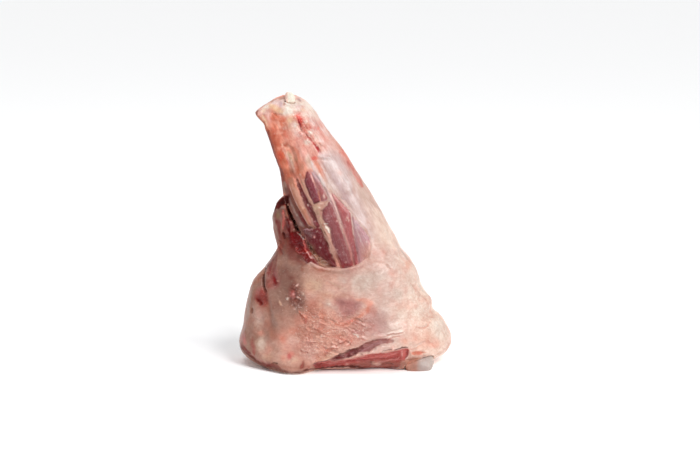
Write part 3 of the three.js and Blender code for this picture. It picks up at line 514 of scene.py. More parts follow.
    line("crimson", 1.0, 1.2, [(299, 121), (300, 124.4), (301, 127)]), line("coral", 0.7, 0.9, [(301.4, 121), (303, 125), (305, 128)]), line("wound_dark", 0.9, 0.55, [(299, 120.6), (299.6, 123.6), (300.4, 126)]),
    line("crimson", 0.6, 0.8, [(308, 136), (311.6, 141), (315, 146), (318.6, 151.6)]), spot("apricot", 0.5, 279, 132, 3, 1.6), spot("fat_rosy", 0.5, 284, 128, 3, 2), spot("apricot", 0.5, 276, 122, 2.4, 2),
    # ---- torn pale tissue in the middle of the window
    patch("sand", 1.0, 0.8, [(312, 204.6), (316, 203.8), (320, 202.4), (328.4, 200.2), (326, 203.4), (323.6, 206.6), (322, 209.6), (321.6, 213), (322, 218), (323.2, 222), (326.2, 225.8), (324.6, 228.4), (320.6, 226), (317.4, 220), (315.4, 212.4)]),
    # in this torn tissue the glint spots and the ivory dash at (324.2, 223.8) are painted highlights, and the
    # near-black spot at (325.2, 232) is painted shade
    spot("sand_green", 0.95, 316.6, 207, 2.6, 2.2, -20), spot("sand_light", 0.85, 318.4, 206, 1.6, 1.0), line("sand_green", 0.9, 1.3, [(318, 211), (320.6, 217), (322.4, 223)]), spot("glint", 0.7, 322, 203.4, 3, 0.7, -14), spot("fat_flesh", 0.6, 325, 203, 2, 1.6),
    spot("wine", 0.9, 322.6, 210, 1.3, 1.1), spot("mauve", 0.5, 321, 213.6, 1.2, 1.6), spot("olive", 0.7, 317.6, 213, 0.9, 1.6, -20), spot("ivory", 0.6, 319.6, 208, 0.8, 0.6), spot("sand_light", 0.8, 321, 218, 0.7, 1.2, -20), spot("mauve", 0.6, 318.6, 217, 0.7, 1.2, -20), spot("brown", 0.6, 323.4, 224.6, 0.8, 1.0), spot("sand_light", 0.7, 315.6, 208.6, 0.7, 1.4), spot("tan", 0.5, 319.4, 204.6, 1.6, 0.7, -10),
    line("tan_pale", 0.9, 0.8, [(321, 224), (324.8, 231), (328.8, 238), (332.2, 244.6), (335.6, 251.6), (338.6, 259.4), (341, 267)]), line("mauve", 0.6, 0.7, [(332, 244), (335.2, 251), (338.2, 259), (340.4, 265)]), line("fat_flesh", 0.6, 0.5, [(330, 240), (333.6, 247.6), (336.6, 255)]),
    line("olive", 0.8, 0.8, [(320.4, 222), (323.6, 229), (327, 235)]), line("ivory", 1.0, 1.0, [(325.8, 226.4), (327.6, 229.4), (329.4, 233)]), spot("chestnut", 0.6, 332.6, 242, 0.9, 1.6),
    line("ivory", 0.9, 0.5, [(324.2, 223.8), (328, 223.6)]), spot("crease_shade", 0.6, 325.2, 232, 0.7, 1.6, -25), spot("glint", 0.5, 330.4, 246, 0.7, 0.9), spot("glint", 0.4, 333.4, 250.6, 0.6, 0.6),
    # ---- heel muscle
    patch("chestnut", 1.0, 2.0, [(271, 208), (278, 200), (289, 194), (290, 206), (292, 216), (296, 228), (292, 244), (290, 252), (280, 256), (277, 246), (274.6, 232), (271.6, 219)]),
    # the deep maroon rim and the near-black patch on the heel muscle's top are painted shade where it turns in under
    # the leg, the rim partly its own dark red
    patch("maroon_deep", 1.0, 1.0, [(273, 210), (275.6, 205), (279.6, 200), (286, 195), (289, 196), (288.8, 202), (289.6, 206.4), (287, 206.8), (284.6, 205), (282, 206.6), (279.6, 210), (277, 211)]),
    patch("gap_shade", 0.95, 1.6, [(280, 202.6), (283, 199), (287, 195.4), (289.4, 196.4), (289.6, 206), (287.4, 206.4), (285.6, 203.6), (282.6, 204.4)]),
    spot("maroon", 0.7, 277.6, 206.6, 1.8, 1.4, -40),
    patch("fat_grey", 1.0, 1.1, [(277, 211.4), (281, 208), (284.6, 205.6), (286.8, 208.6), (287.4, 214), (286, 219), (281, 222), (278.6, 219.6), (276.4, 216.6)]),
    spot("moss", 0.85, 278.8, 215.4, 2.0, 3.4), spot("ash", 0.6, 283.4, 207.8, 2, 1.2, -20), spot("sand", 0.6, 277, 210, 1.4, 1.0), spot("olive", 0.5, 287, 214, 0.9, 2.4), spot("mauve_dark", 0.5, 280.8, 219.4, 1.2, 2.4),
    line("ash", 0.85, 1.0, [(274, 210.6), (273.6, 216), (274.2, 222), (275.4, 229)]), spot("maroon", 0.85, 277, 221.8, 1.5, 1.9), line("maroon", 0.8, 1.0, [(277.6, 224), (279, 229), (279.8, 234)]),
    line("streak_red", 0.95, 1.3, [(283.6, 211), (284, 216), (283.6, 222), (283, 229)]), line("gum", 0.4, 0.6, [(284.2, 213), (284.4, 219)]), line("olive", 0.6, 0.8, [(281, 221), (281.6, 227), (281.8, 233)]),
    line("fat_dull", 0.75, 0.9, [(275.6, 226), (276.6, 233), (278, 240), (280, 246)]), line("mauve_dark", 0.6, 0.8, [(278.6, 237), (281, 243), (283.4, 249)]), spot("chestnut", 0.6, 282, 233, 1.6, 5),
    patch("blood_dark", 1.0, 1.1, [(285.6, 216.6), (288.2, 219.4), (289.8, 225), (290.6, 232), (292.4, 240), (294, 247), (291, 248), (288.4, 241), (287, 233), (286, 226)]), line("wound", 0.6, 0.7, [(286, 220), (286.6, 227), (287.6, 234)]),
    # the near-black line from (283.2, 232.6) to (285, 238.8) is painted shade in the slit
    line("blood_dark", 0.85, 0.9, [(288.4, 222), (288.8, 231), (290.6, 241)]), line("crease_shade", 1.0, 1.1, [(283.2, 232.6), (284, 235.4), (285, 238.8)]), spot("membrane_dark", 0.7, 285.6, 236, 1.2, 2.4), spot("fat_grey", 0.7, 286, 243, 1.6, 3),
    line("umber", 0.85, 1.0, [(279.6, 240), (281.6, 244), (283.4, 248)]), line("maroon", 0.9, 1.2, [(278.8, 247), (280.8, 251), (283, 254.6)]), spot("maroon", 0.6, 282, 256, 2, 1),
    # the grey fat and the shade-toned spot under the heel muscle are painted shade
    patch("fat_grey", 0.85, 3.0, [(284, 246), (290, 249), (297, 255), (304, 262), (300, 266), (290, 262), (283, 256)]), spot("fat_shade", 0.6, 281.6, 259, 3, 3),
    # the glint line is a painted highlight
    line("membrane_dark", 0.95, 1.3, [(288.6, 214), (290.4, 219.6), (292.4, 225), (294, 230), (295, 234)]), line("mauve", 0.6, 0.7, [(290, 218), (292, 224), (293.4, 228)]), line("glint", 0.6, 0.8, [(292.6, 228.4), (294, 230.6), (296.4, 232)]), spot("fat_flesh", 0.7, 294.4, 231, 1.5, 1.2, 20),
    # ---- cleft
    # round the cleft the fat is darkened with chestnut and its deepest red is near black: painted shade in the gap, the
    # deep red partly dark blood
    patch("chestnut", 0.75, 3.5, [(288, 238), (293, 246), (298, 253), (304, 259), (306, 264), (299, 262), (291, 255), (287, 247)]), patch("garnet", 1.0, 1.7, MUSCLES["cleft"][0]), patch("blood_dark", 0.75, 2.0, [(289.6, 238), (294, 243), (298, 250), (304, 257.6), (306, 263), (301, 258.4), (294, 251.4), (290, 245)]),
    # the pale brick spot and line near (297, 250) and the pink line from (306.8, 252) are wet highlights painted on the
    # red; so are the ivory and glint lines below
    spot("blood_dark", 0.95, 298.4, 245, 2.4, 5, -25), spot("wound_dark", 0.6, 295, 237, 2, 3), spot("brick", 0.6, 296.8, 248.6, 0.7, 1.6), line("brick", 0.6, 0.5, [(297, 251), (300, 252.4), (303, 252)]), spot("wine_dark", 0.8, 301.4, 243.6, 1.8, 3.6, -25), line("rose", 0.7, 0.5, [(302.4, 239.6), (304, 243.4), (305, 247)]), line("scarlet", 0.55, 0.45, [(304, 247.6), (306, 251), (308, 254)]),
    line("brick", 0.55, 0.8, [(303.4, 241), (305, 246), (305.6, 250)]), line("streak_red", 0.5, 0.6, [(304.6, 248), (308, 253.6), (312.6, 259.4)]), line("pink", 0.8, 0.5, [(306.8, 252), (309, 255.6), (311, 258.6)]),
    line("streak_red", 0.5, 0.6, [(309, 251.6), (312.6, 256.4), (316.4, 261)]), line("wound_dark", 0.7, 0.7, [(306.4, 256), (309.4, 260), (312, 262)]), spot("wound_dark", 0.6, 302.6, 254.6, 1.6, 1.4),
    line("ivory", 0.8, 0.4, [(299.2, 234), (301, 236.4), (303.6, 239.6)]), line("glint", 0.6, 0.5, [(296.6, 232.6), (298.4, 233.6)]), spot("glint", 0.6, 307.6, 252.4, 0.7, 1.1, -40), spot("glint", 0.5, 311.6, 257.6, 0.6, 1.1, -40),
    # the dark line down the cleft's right side, the near-black spot at its tip and the near-black lines from (286.6,
    # 203) to (304, 238) are painted shade in the gap
    line("umber", 0.85, 0.9, [(305, 241), (309, 248.4), (313, 255.6), (317.4, 261.4)]), spot("crease_shade", 0.7, 305.6, 262, 1.1, 1.2),
    line("gap_shade", 1.0, 1.6, [(286.6, 203), (288.6, 208.6), (291, 215), (293.6, 220.6), (296, 225.6)]), line("gap_shade", 0.95, 0.9, [(296, 225.6), (298.4, 230), (301, 233.6), (304, 238)]),
    # ---- fat below the window
    # darker mauve at the window's lower right corner: painted shade
    spot("mauve", 0.45, 369, 258, 4, 8, -15),
    # the pale rim along the fat's lip is its own pale colour with a painted highlight; the tan line under it is its
    # painted shadow
    line("fat_rosy", 0.9, 1.1, [(310, 262.6), (315, 265.2), (320.6, 267.8), (328, 269.2), (338, 269.6), (347, 269), (354, 267.2), (361, 263.6), (366.6, 258)]),
    line("tan", 0.75, 1.3, [(313, 267), (318, 269.4), (325, 271), (331, 271.6)]), spot("brown", 0.5, 336.6, 273, 5, 2, 0), spot("fat_warm", 0.7, 330, 276.4, 9, 3.4, 0),
    line("brick", 0.3, 1.2, [(319, 270), (326, 270.4)]), line("mauve", 0.4, 1.2, [(351, 270), (357, 268.4), (363, 266)]),
    patch("fat_stone", 0.9, 6, [(342, 276), (352, 273), (366, 272), (374, 278), (372, 288), (362, 294), (350, 291), (342, 286)]),
    spot("fat_flesh", 0.6, 311, 286, 7, 7, 0), spot("sand_light", 0.8, 318, 284, 3, 3.4, 0), spot("fat_rosy", 0.6, 334, 292, 6, 3, 20), spot("fat_warm", 0.45, 340, 288, 4, 3, 40),
    line("sand_light", 0.4, 0.9, [(331, 281), (338, 286), (345, 289)]), line("fat_warm", 0.5, 0.9, [(320, 280), (328, 282), (334, 286)]),
    patch("fat_rosy", 0.5, 5, [(362, 247), (376, 241), (386, 250), (388, 264), (376, 273), (366, 267)]), spot("fat_cream", 0.8, 390, 240, 9, 14, -25),
    patch("mauve", 0.4, 7, [(342, 316), (360, 311), (384, 313), (389, 328), (381, 338), (356, 341), (343, 333)]),
    patch("fat_warm", 0.45, 8, [(276, 318), (312, 312), (330, 322), (340, 340), (319, 356), (300, 367), (276, 360)]),
    patch("apricot", 0.35, 9, [(302, 306), (330, 312), (360, 318), (364, 338), (344, 350), (318, 360), (300, 348)]),
    # ---- dull heel side, in shade: the fat_shade patch and the dark lines in its creases and along its bottom edge are painted shade
    patch("fat_shade", 0.85, 6, [(274, 256), (292, 256), (304, 264), (302, 272), (290, 280), (278, 274)]), spot("fat_dull", 0.7, 280, 262, 5, 5, 0),
    spot("tan", 0.45, 293, 262, 5, 4, 0), spot("fat_tan", 0.5, 305, 270, 5, 4, 0), spot("brown", 0.8, 302, 269, 1.4, 3, 0),
    patch("fat_grey", 0.9, 5, [(278, 268), (290, 268), (296, 276), (302, 288), (306, 302), (300, 312), (290, 304), (282, 298), (276, 286)]),
    spot("chestnut", 0.5, 291.6, 278, 2.4, 2, 0), spot("fat_shade", 0.6, 286, 276, 2.4, 3, 0), spot("fat_dull", 0.5, 283, 293, 4, 5, 0),
    patch("mauve_dark", 0.7, 3.0, [(268, 264), (273, 259), (276, 266), (278, 276), (279, 286), (274, 289), (268, 288), (267, 276)]), patch("maroon", 0.6, 2.2, [(270, 264), (273, 262), (275.4, 268), (276.6, 276), (278, 284), (275, 287), (272, 283), (270, 276)]), line("maroon", 0.6, 0.9, [(276.6, 256), (275.6, 264), (275, 272)]), line("maroon", 0.6, 0.9, [(272.6, 260), (270, 268), (268.4, 277)]), line("fat_shade", 0.5, 0.7, [(274, 260), (272.4, 268), (271.4, 276)]), spot("chestnut", 0.7, 268, 283, 3, 5, 0),
    spot("mauve_dark", 0.5, 276, 272, 1.6, 5, 0), line("fat_grey", 0.6, 0.9, [(273, 258), (275, 265), (276.4, 272)]),
    spot("garnet", 1.0, 274.2, 279.6, 1.9, 3.2, 0), spot("blood", 0.8, 275.6, 283, 2.2, 1.8, 0), spot("fat_flesh", 0.6, 278, 281, 0.8, 0.9, 0),
    # the umber line from (278.4, 250.6) and the near-black line from (265, 267) lie in creases: painted shade
    line("umber", 0.9, 1.6, [(278.4, 250.6), (273.4, 258.6), (268.2, 264.8), (264.4, 270)]), line("gap_shade", 1.0, 1.0, [(265, 267), (263.6, 273), (263, 280), (264, 286), (265, 291)]),
    line("brown", 0.7, 1.4, [(265, 289), (266.4, 296), (267.4, 303)]),
    # the grey line down the left outline from (253, 285) is a painted reflection of the pale surroundings
    patch("fat_dull", 0.8, 3, [(254, 282), (260, 280), (262, 288), (258, 292), (252, 304), (250, 300)]), line("ash", 0.8, 1.6, [(253, 285), (250.6, 293), (249, 301), (247.6, 310), (246.6, 320)]),
    patch("wound", 0.85, 3.4, [(256, 290), (262, 287), (266.4, 292), (267.4, 302), (263, 307.6), (257, 303), (254, 297)]), spot("brick", 0.45, 261.4, 293, 2.6, 3.2, 0), spot("mauve", 0.4, 258, 291, 2, 3, 0),
    spot("maroon", 0.6, 261.4, 298, 4.4, 5.4, 0), spot("maroon", 0.7, 258.6, 299.6, 3.4, 2.4, 35), line("wound_dark", 1.0, 1.9, [(257, 299), (259.4, 301.6), (261.4, 304.4)]), spot("wound", 0.7, 264.6, 304.6, 2.4, 2.0, 0), spot("maroon", 0.7, 265.6, 299, 1.4, 5, 0),
    # the brown line down the groove from (267, 302) is partly its own brown and partly painted shade; the near-black
    # line at (252, 307.6) is painted shade in a sunk groove
    line("brown", 0.8, 2.0, [(267, 302), (268.4, 309), (269.4, 316), (271, 324)]), line("crease_shade", 1.0, 1.0, [(252, 307.6), (251.8, 313)]), line("fat_grey", 0.5, 1.2, [(251, 302), (251.4, 308)]),
    spot("ash", 0.7, 256.6, 314, 3, 4, 0), patch("fat_tan", 0.7, 4, [(254, 308), (264, 308), (267, 318), (266, 330), (256, 330), (250, 322)]), spot("ash", 0.5, 261, 317, 4, 4, 0),
    spot("fat_dull", 0.7, 250, 324, 3, 7, 0), line("fat_tan", 0.8, 2.2, [(275, 316), (278, 322), (281, 327)]), spot("fat_shade", 0.7, 277, 309, 5, 6, 0), spot("fat_dull", 0.6, 278, 324, 6, 8, 0), spot("fat_dull", 0.4, 294, 312, 6, 6, 0),
    spot("tan", 0.8, 274.6, 333, 5, 5, 0), spot("salmon", 0.5, 261, 334, 3.6, 2.6, 30), patch("fat_warm", 0.85, 5, [(278, 328), (290, 326), (298, 334), (298, 350), (288, 356), (280, 346)]),
    patch("fat_flesh", 0.8, 6, [(266, 344), (284, 342), (304, 338), (316, 348), (312, 362), (296, 368), (276, 364), (264, 356)]), spot("sand_light", 0.6, 294, 360, 5, 3, 0),
    spot("coral", 0.35, 284, 338, 4, 6, 0), spot("coral", 0.4, 293, 331, 4, 3, 0), spot("fat_tan", 0.7, 275, 351, 4, 6, 0), spot("fat_tan", 0.6, 267, 344, 3, 5, 0),
    spot("sand_green", 0.7, 261, 344, 4.4, 6, 0), spot("fat_stone", 0.35, 260.4, 343, 2.6, 3.4, 0), spot("sand_green", 0.5, 268, 357, 5, 4), spot("fat_flesh", 0.5, 266, 352, 4, 3, 0), line("strip_brown", 0.6, 2.2, [(252.6, 337), (253, 345), (254.6, 355)]), line("wound", 0.95, 1.2, [(252.8, 340), (253.2, 348), (254.8, 355)]), spot("moss", 0.35, 248, 343, 1.6, 5),
    spot("fat_stone", 0.4, 258.6, 315, 3, 7), spot("fat_stone", 0.45, 262, 344, 4, 6), spot("mauve_dark", 0.85, 243.4, 338, 2.4, 4.6, 0), spot("fat_dull", 0.7, 248.6, 339, 2.2, 6, 0), spot("brick", 0.4, 245, 342, 1.6, 3, 0),
    # the maroon line round the lower left outline is partly the meat's own dark red and partly painted shade where it
    # turns away
    line("maroon", 0.9, 1.3, [(240.6, 343.6), (243.4, 347.6), (247, 351), (250.6, 354)]), spot("brick", 0.75, 289.4, 356.4, 1.8, 2.8, -20), spot("rose", 0.5, 292, 353, 2, 2, 0),
    # the near-black line at (271.4, 363.6) is painted shade in a crease
    line("mauve_dark", 0.7, 2.0, [(250, 355), (257, 359.6), (265, 363), (272, 365.6)]), line("gap_shade", 0.9, 0.8, [(271.4, 363.6), (274, 363), (277, 363.8)]), spot("maroon", 0.5, 272, 365, 4, 1.4, 10),
    # the broad brown band and the umber line along the bottom edge are painted shade where the underside turns away
    # from the light
    line("brown", 0.5, 3.4, [(262, 362), (276, 366), (290, 369), (304, 367)]), line("umber", 1.0, 1.5, [(240.6, 346.4), (246, 352.6), (255, 359.8), (264, 364.8), (272, 367.2), (280, 370.2), (290, 372.8), (300, 372.4), (307, 369.8), (314, 368.6)]), line("maroon", 0.7, 1.6, [(262, 363), (268, 365.4), (275, 366), (280, 368)]),
    spot("maroon", 0.85, 302.4, 366.4, 2.4, 3.4, 20), line("wound", 0.8, 1.3, [(303.6, 361), (302.4, 365), (301, 369.4)]), spot("brick", 0.8, 289.4, 356.4, 1.6, 2.6, 15), spot("strip_brown", 0.7, 307.6, 366.6, 2.4, 1.8, -10), spot("coral", 0.4, 284, 358, 3, 3, 0),
    # ---- torn bit of the middle
    patch("chestnut", 0.6, 2.6, [(290, 285), (297, 283), (301, 288), (302, 296), (303, 306), (297, 311), (291, 306), (289, 296)]),
    spot("wound", 0.6, 294.2, 294.4, 4.2, 5.4, 0), spot("brick", 0.6, 292.4, 294, 2.2, 3.2, 0), line("umber", 0.85, 0.8, [(292, 288.6), (295, 289.6), (298, 291.6)]), line("umber", 0.9, 0.8, [(294, 299.4), (297, 299), (299.6, 299.6)]), spot("umber", 0.6, 296, 294.4, 1.0, 1.6, 0),
    # the glint spots, the pink spot at (293.4, 294.4), the pale spot at (287, 298.6) and the pale line from (279.6,
    # 301) are painted highlights on the torn bits
    spot("glint", 0.9, 296.4, 285.6, 1.8, 0.8, -40), spot("pink", 0.8, 293.4, 294.4, 1.6, 1.2, 0), spot("glint", 0.9, 298.2, 297.6, 1.5, 0.9, 30), spot("mauve", 0.7, 293, 297.8, 2, 1.0, 0),
    spot("fat_stone", 0.9, 287, 298.6, 1.0, 1.1, 0), line("sand_light", 0.75, 0.8, [(279.6, 301), (280.6, 304), (281, 306)]), spot("glint", 0.45, 300, 307, 2.4, 0.7, -10), spot("fat_rosy", 0.7, 294.6, 309, 1.0, 1.6, -30),
    spot("fat_tan", 0.6, 299.4, 291, 0.8, 2, 0), spot("fat_grey", 0.35, 303, 301, 3, 4, 0), spot("fat_dull", 0.5, 305, 308, 3, 3, 0),
    line("coral", 0.8, 1.7, [(299, 311), (303, 316), (307, 322)]), spot("brick", 0.9, 306, 321.4, 1.5, 2.2, -20), line("fat_rosy", 0.6, 0.8, [(300.6, 312), (304, 315.6)]), line("brown", 0.45, 1.0, [(299, 313), (302, 318), (304, 322)]),
    # ---- mauve bruise and the wrinkles round it
    patch("fat_warm", 0.5, 5, [(306, 308), (318, 312), (328, 320), (318, 326), (306, 324)]), spot("orange", 0.45, 323.4, 315.6, 4, 3.6, 0), spot("brown", 0.3, 312, 311, 5, 2.4, 30), spot("tan_pale", 0.5, 315, 309, 2, 4, 0),
    spot("fat_stone", 0.8, 328, 301.6, 5, 4, 20), spot("ivory", 0.35, 329.2, 304.4, 1.1, 0.9, 0), spot("fat_warm", 0.45, 342, 296, 7, 2.4), spot("sand_light", 0.5, 320, 305, 2, 3, 0), spot("fat_warm", 0.4, 314, 301, 3, 5, 0),
    patch("mauve", 0.85, 3.2, [(335, 299), (342, 298), (348, 300), (356, 301), (361, 304), (359, 309.6), (354, 314), (348, 317), (342, 313.6), (337, 307)]),
    # the glint spots and lines in this part and the ivory line at (353, 334) are painted highlights; the thin brown
    # lines along the creases under the wrinkles' crests are painted shade
    spot("mauve_dark", 0.75, 341.4, 303.4, 3.4, 3, 0), spot("mauve_dark", 0.4, 348, 311, 3, 3, 0), spot("mauve", 0.7, 350, 303.6, 5, 4, 0), spot("glint", 0.5, 347.6, 298, 1.0, 1.2, 0),
    line("silver_grey", 0.5, 1.8, [(331, 302), (335, 308), (340, 314), (344, 318)]), line("fat_flesh", 0.7, 1.4, [(346, 318.6), (352, 316.6), (357, 313)]), line("apricot", 0.7, 2.4, [(357, 299.6), (365, 300.6), (371, 303), (368, 309), (362, 315), (354, 319)]), line("coral", 0.4, 1.2, [(369, 305), (366, 311.6), (360, 316), (353, 320.6), (344, 323.6), (335, 322)]), spot("mauve_dark", 0.5, 341.6, 302, 3, 2.4), spot("brown", 0.3, 336, 300, 2.4, 1.2, 30),
    spot("apricot", 0.85, 369, 303, 4.6, 3.4, 0), spot("coral", 0.2, 367.6, 309, 2.4, 3, 0), spot("apricot", 0.7, 364.6, 311.4, 4, 3, 0), line("coral", 0.5, 1.0, [(368, 306), (367.6, 311), (365.6, 315)]),
    line("glint", 0.45, 0.9, [(361, 310.6), (365, 312), (363.6, 316)]), patch("mauve", 0.35, 6, [(368, 312), (382, 312), (386, 324), (380, 332), (368, 330)]),
    line("apricot", 0.8, 1.6, [(332, 322), (339, 324), (346, 325.6), (352, 323)]), line("brown", 0.4, 0.7, [(330, 319.6), (337, 322.4), (344, 322)]), line("rose", 0.5, 1.1, [(346, 322), (350, 320.6), (353, 321.6)]),
    line("brown", 0.6, 0.75, [(354, 318.8), (358, 319.8), (362.6, 322.6)]), line("glint", 0.75, 0.9, [(357, 321.8), (361, 323.6), (364.6, 325)]), line("fat_warm", 0.6, 0.8, [(352, 326), (356, 327.4), (360, 329)]),
    line("tan", 0.5, 0.8, [(344, 328.6), (350, 328.2), (357, 330.6)]), line("mauve", 0.5, 1.2, [(352, 330.6), (358, 333), (363, 334)]), line("ivory", 0.85, 0.9, [(353, 334), (356, 335), (359, 336.4)]),
    spot("apricot", 0.5, 340.6, 337, 5, 4, 0), line("tan_pale", 0.5, 0.8, [(334, 332), (341, 334), (348, 334)]), line("brown", 0.4, 0.7, [(338, 336.4), (343, 336), (347, 337.6)]),
    spot("glint", 0.85, 341.2, 341.4, 1.6, 1.2, -20), line("brown", 0.6, 0.75, [(336.6, 345.4), (340, 344.4), (343.6, 342.4), (346, 341.2)]), line("tan", 0.5, 0.7, [(346, 341.4), (349, 343), (351.4, 345)]),
    line("glint", 0.75, 0.8, [(331, 346.4), (334.6, 346.6), (338, 347.6)]), spot("strip_light", 0.6, 326.4, 352, 2.0, 2.8, 20), line("brown", 0.6, 0.7, [(329, 350), (333, 350.6), (337.6, 352)]), spot("coral", 0.5, 331, 349.6, 3, 1.6, 0), spot("brown", 0.4, 324, 344, 2.4, 1.2, 20),
    line("fat_rosy", 0.6, 1.0, [(322, 346), (328, 347.6), (333, 350.4), (338, 351)]), line("brown", 0.5, 0.8, [(334, 350), (340, 352.4)]),
    spot("glint", 0.55, 308, 342, 1.4, 1.2, 0), spot("glint", 0.45, 313, 340.6, 1.2, 1.0, 0), line("fat_warm", 0.7, 0.8, [(305.6, 343), (308.6, 344.6), (312, 344)]), spot("tan", 0.35, 318, 333, 7, 5, 0), spot("fat_rosy", 0.5, 309, 350, 6, 4, 0),
    patch("sand_light", 0.6, 2.5, [(318, 357), (326, 355), (334, 353), (333, 356.6), (327, 359.6), (319, 361)]), spot("tan", 0.5, 324, 354, 2, 2, 0),
    # ---- knee side
    patch("peach", 0.45, 7, [(408, 300), (422, 296), (438, 314), (448, 332), (446, 346), (430, 352), (414, 350), (406, 326)]), patch("peach", 0.4, 4, [(415, 338), (432, 334), (438, 346), (430, 352), (417, 350)]),
    spot("fat_rosy", 0.6, 380, 260, 6, 7, 0), line("tan_pale", 0.75, 0.8, [(386.4, 264.4), (388.6, 266), (391, 268.4)]), spot("shell", 0.45, 391.6, 272, 3, 4.4, -20), spot("fat_rosy", 0.2, 384, 247, 5, 8, -20),
    spot("fat_stone", 0.75, 376, 276, 7, 6, 0), spot("fat_stone", 0.8, 397, 294, 5.4, 4.6, 0), spot("fat_rosy", 0.3, 386, 286, 6, 6, 0), spot("fat_stone", 0.5, 382, 297, 4, 4, 0),
    spot("peach", 0.8, 408, 264, 3.6, 4.4, 0), spot("fat_bright", 0.6, 400, 262, 3, 6, -20), line("fat_stone", 0.6, 1.0, [(399, 247), (404, 255), (411, 262), (416, 270), (420, 279), (424, 288)]),
    line("apricot", 0.6, 0.8, [(410.6, 282.6), (415.6, 288.6), (420, 292.6), (424, 296)]), line("tan", 0.7, 0.7, [(423.4, 296), (425.4, 298), (426.6, 299.2)]), spot("shell", 0.6, 429, 297.6, 1.6, 1.6, 0), line("fat_flesh", 0.7, 0.9, [(431, 299), (431.6, 304)]),
    spot("fat_bright", 0.85, 410, 311, 10, 8, 0), spot("fat_bright", 0.5, 438, 330, 6, 9, -10), line("coral", 0.5, 0.65, [(423, 312.6), (426.6, 316), (430, 316.4), (434, 318)]), line("coral", 0.6, 0.7, [(416.6, 326.8), (422, 327.8), (427, 326.6), (430.4, 322.6)]), line("coral", 0.45, 0.6, [(421, 303), (424, 307), (426, 312)]), line("apricot", 0.6, 0.6, [(428, 340), (431.6, 343.6), (435, 348)]), line("ivory", 0.6, 0.8, [(411, 348), (417, 345.6), (424, 342)]), line("apricot", 0.5, 0.6, [(409, 350), (416, 347.4), (422, 345)]), line("fat_stone", 0.6, 0.7, [(434, 322), (438, 327), (440, 332)]), spot("mauve_dark", 0.5, 444.2, 327, 0.9, 0.9), spot("peach", 0.6, 426, 320, 5, 4, 0),
    line("apricot", 0.3, 0.8, [(420, 318), (425, 319), (430, 316)]), spot("fat_rosy", 0.6, 444.6, 327, 1.6, 2.0, 0), spot("shell", 0.45, 443, 329.6, 2, 1.4, 0), spot("fat_rosy", 0.4, 434, 317, 1.4, 2, 0), spot("peach", 0.5, 430, 334, 5, 4, 0),
    line("apricot", 0.4, 1.5, [(418, 345), (425, 341.6), (433, 343.6)]), spot("fat_bright", 0.6, 432, 349.6, 4, 2, 0), spot("fat_bright", 0.5, 441, 333, 4, 6, 0), line("fat_flesh", 0.55, 1.0, [(436, 355), (443, 351.4), (448, 347), (450.6, 341)]),
    spot("peach", 0.8, 404.6, 341, 2.6, 2.2, 0), spot("fat_stone", 0.5, 413, 344, 3, 2, 0), line("fat_flesh", 0.55, 0.7, [(384, 336), (391, 334.4), (398, 333.6), (404, 332)]), line("fat_warm", 0.45, 0.7, [(388, 338.4), (394, 336.4), (400, 336)]),
    line("fat_flesh", 0.4, 0.7, [(391, 331.4), (397, 330.4), (402, 328)]), spot("fat_rosy", 0.5, 391.6, 318, 4, 5, 0), line("fat_stone", 0.5, 0.8, [(416, 344.6), (421, 343.4), (425, 341)]), spot("fat_rosy", 0.35, 375, 337, 5, 2, -10),
    patch("coral", 0.95, 1.2, [(411.4, 352.6), (416, 350.8), (421, 351.2), (425.4, 353.4), (420, 355.2), (414, 355.6)]), spot("rose", 0.6, 419.4, 353.2, 2.4, 1.2, 8), line("fat_rosy", 0.8, 1.0, [(409.6, 358), (415, 357), (422, 356.6), (432, 355.4)]),
    line("fat_flesh", 0.7, 1.2, [(409, 351), (410.6, 354.6), (409, 358)]),
    line("fat_bright", 0.8, 5, [(374, 210), (384, 229), (394, 248)]), spot("fat_bright", 0.4, 424, 311, 8, 9), spot("ivory", 0.4, 441, 328, 7, 10),
    # late tone corrections over the whole front follow; among them the darker mauve and flesh spots at (366.6, 252) and
    # (371, 256), the chestnut patch, the umber spots and the blood-dark spot at the cleft's lower end, the umber line
    # down the cleft's right edge, and the umber lines and chestnut spot in the heel-side crease are painted shade
    spot("mauve", 0.65, 366.6, 252, 3.4, 7, -20), spot("fat_flesh", 0.7, 371, 256, 6, 8, -15), spot("silver_grey", 0.3, 348, 200, 6, 10, -28), spot("silver_grey", 0.6, 356, 210, 4, 7, -28), spot("fat_rosy", 0.4, 369, 225, 4, 6, -28), spot("fat_bright", 0.9, 385, 236, 7, 10, -28), spot("ivory", 0.3, 419, 300, 12, 22, -20), spot("ivory", 0.4, 439, 328, 7, 10), spot("ivory", 0.3, 404, 272, 7, 8), patch("ivory", 0.5, 3, [(304, 102), (310, 104), (316, 111), (320, 119), (314, 118), (307, 110)]), spot("ivory", 0.5, 312, 107, 5, 5), spot("blush", 0.5, 296, 131, 5, 6), spot("fat_rosy", 0.5, 314, 291, 9, 8), spot("mauve_dark", 0.3, 346, 252, 5, 12, -20), spot("fat_dull", 0.5, 277, 326, 6, 7), spot("fat_dull", 0.45, 292, 309, 6, 5), spot("fat_rosy", 0.5, 293, 343, 6, 6),
    spot("fat_rosy", 0.7, 310, 356, 7, 5), spot("fat_rosy", 0.6, 309, 345, 6, 5), spot("fat_rosy", 0.3, 294, 345, 6, 5), spot("sand_light", 0.5, 326, 296, 8, 5), spot("sand_light", 0.8, 312, 286, 8, 7), spot("fat_stone", 0.25, 310, 296, 6, 5),
    spot("fat_pale", 0.4, 391, 296, 6, 6), spot("fat_bright", 0.6, 407, 308, 9, 8), spot("fat_bright", 0.5, 406, 320, 7, 7), spot("fat_bright", 0.4, 421, 296, 5, 6), spot("peach", 0.5, 406, 344, 4, 4), spot("fat_rosy", 0.5, 358, 271, 7, 3.4),
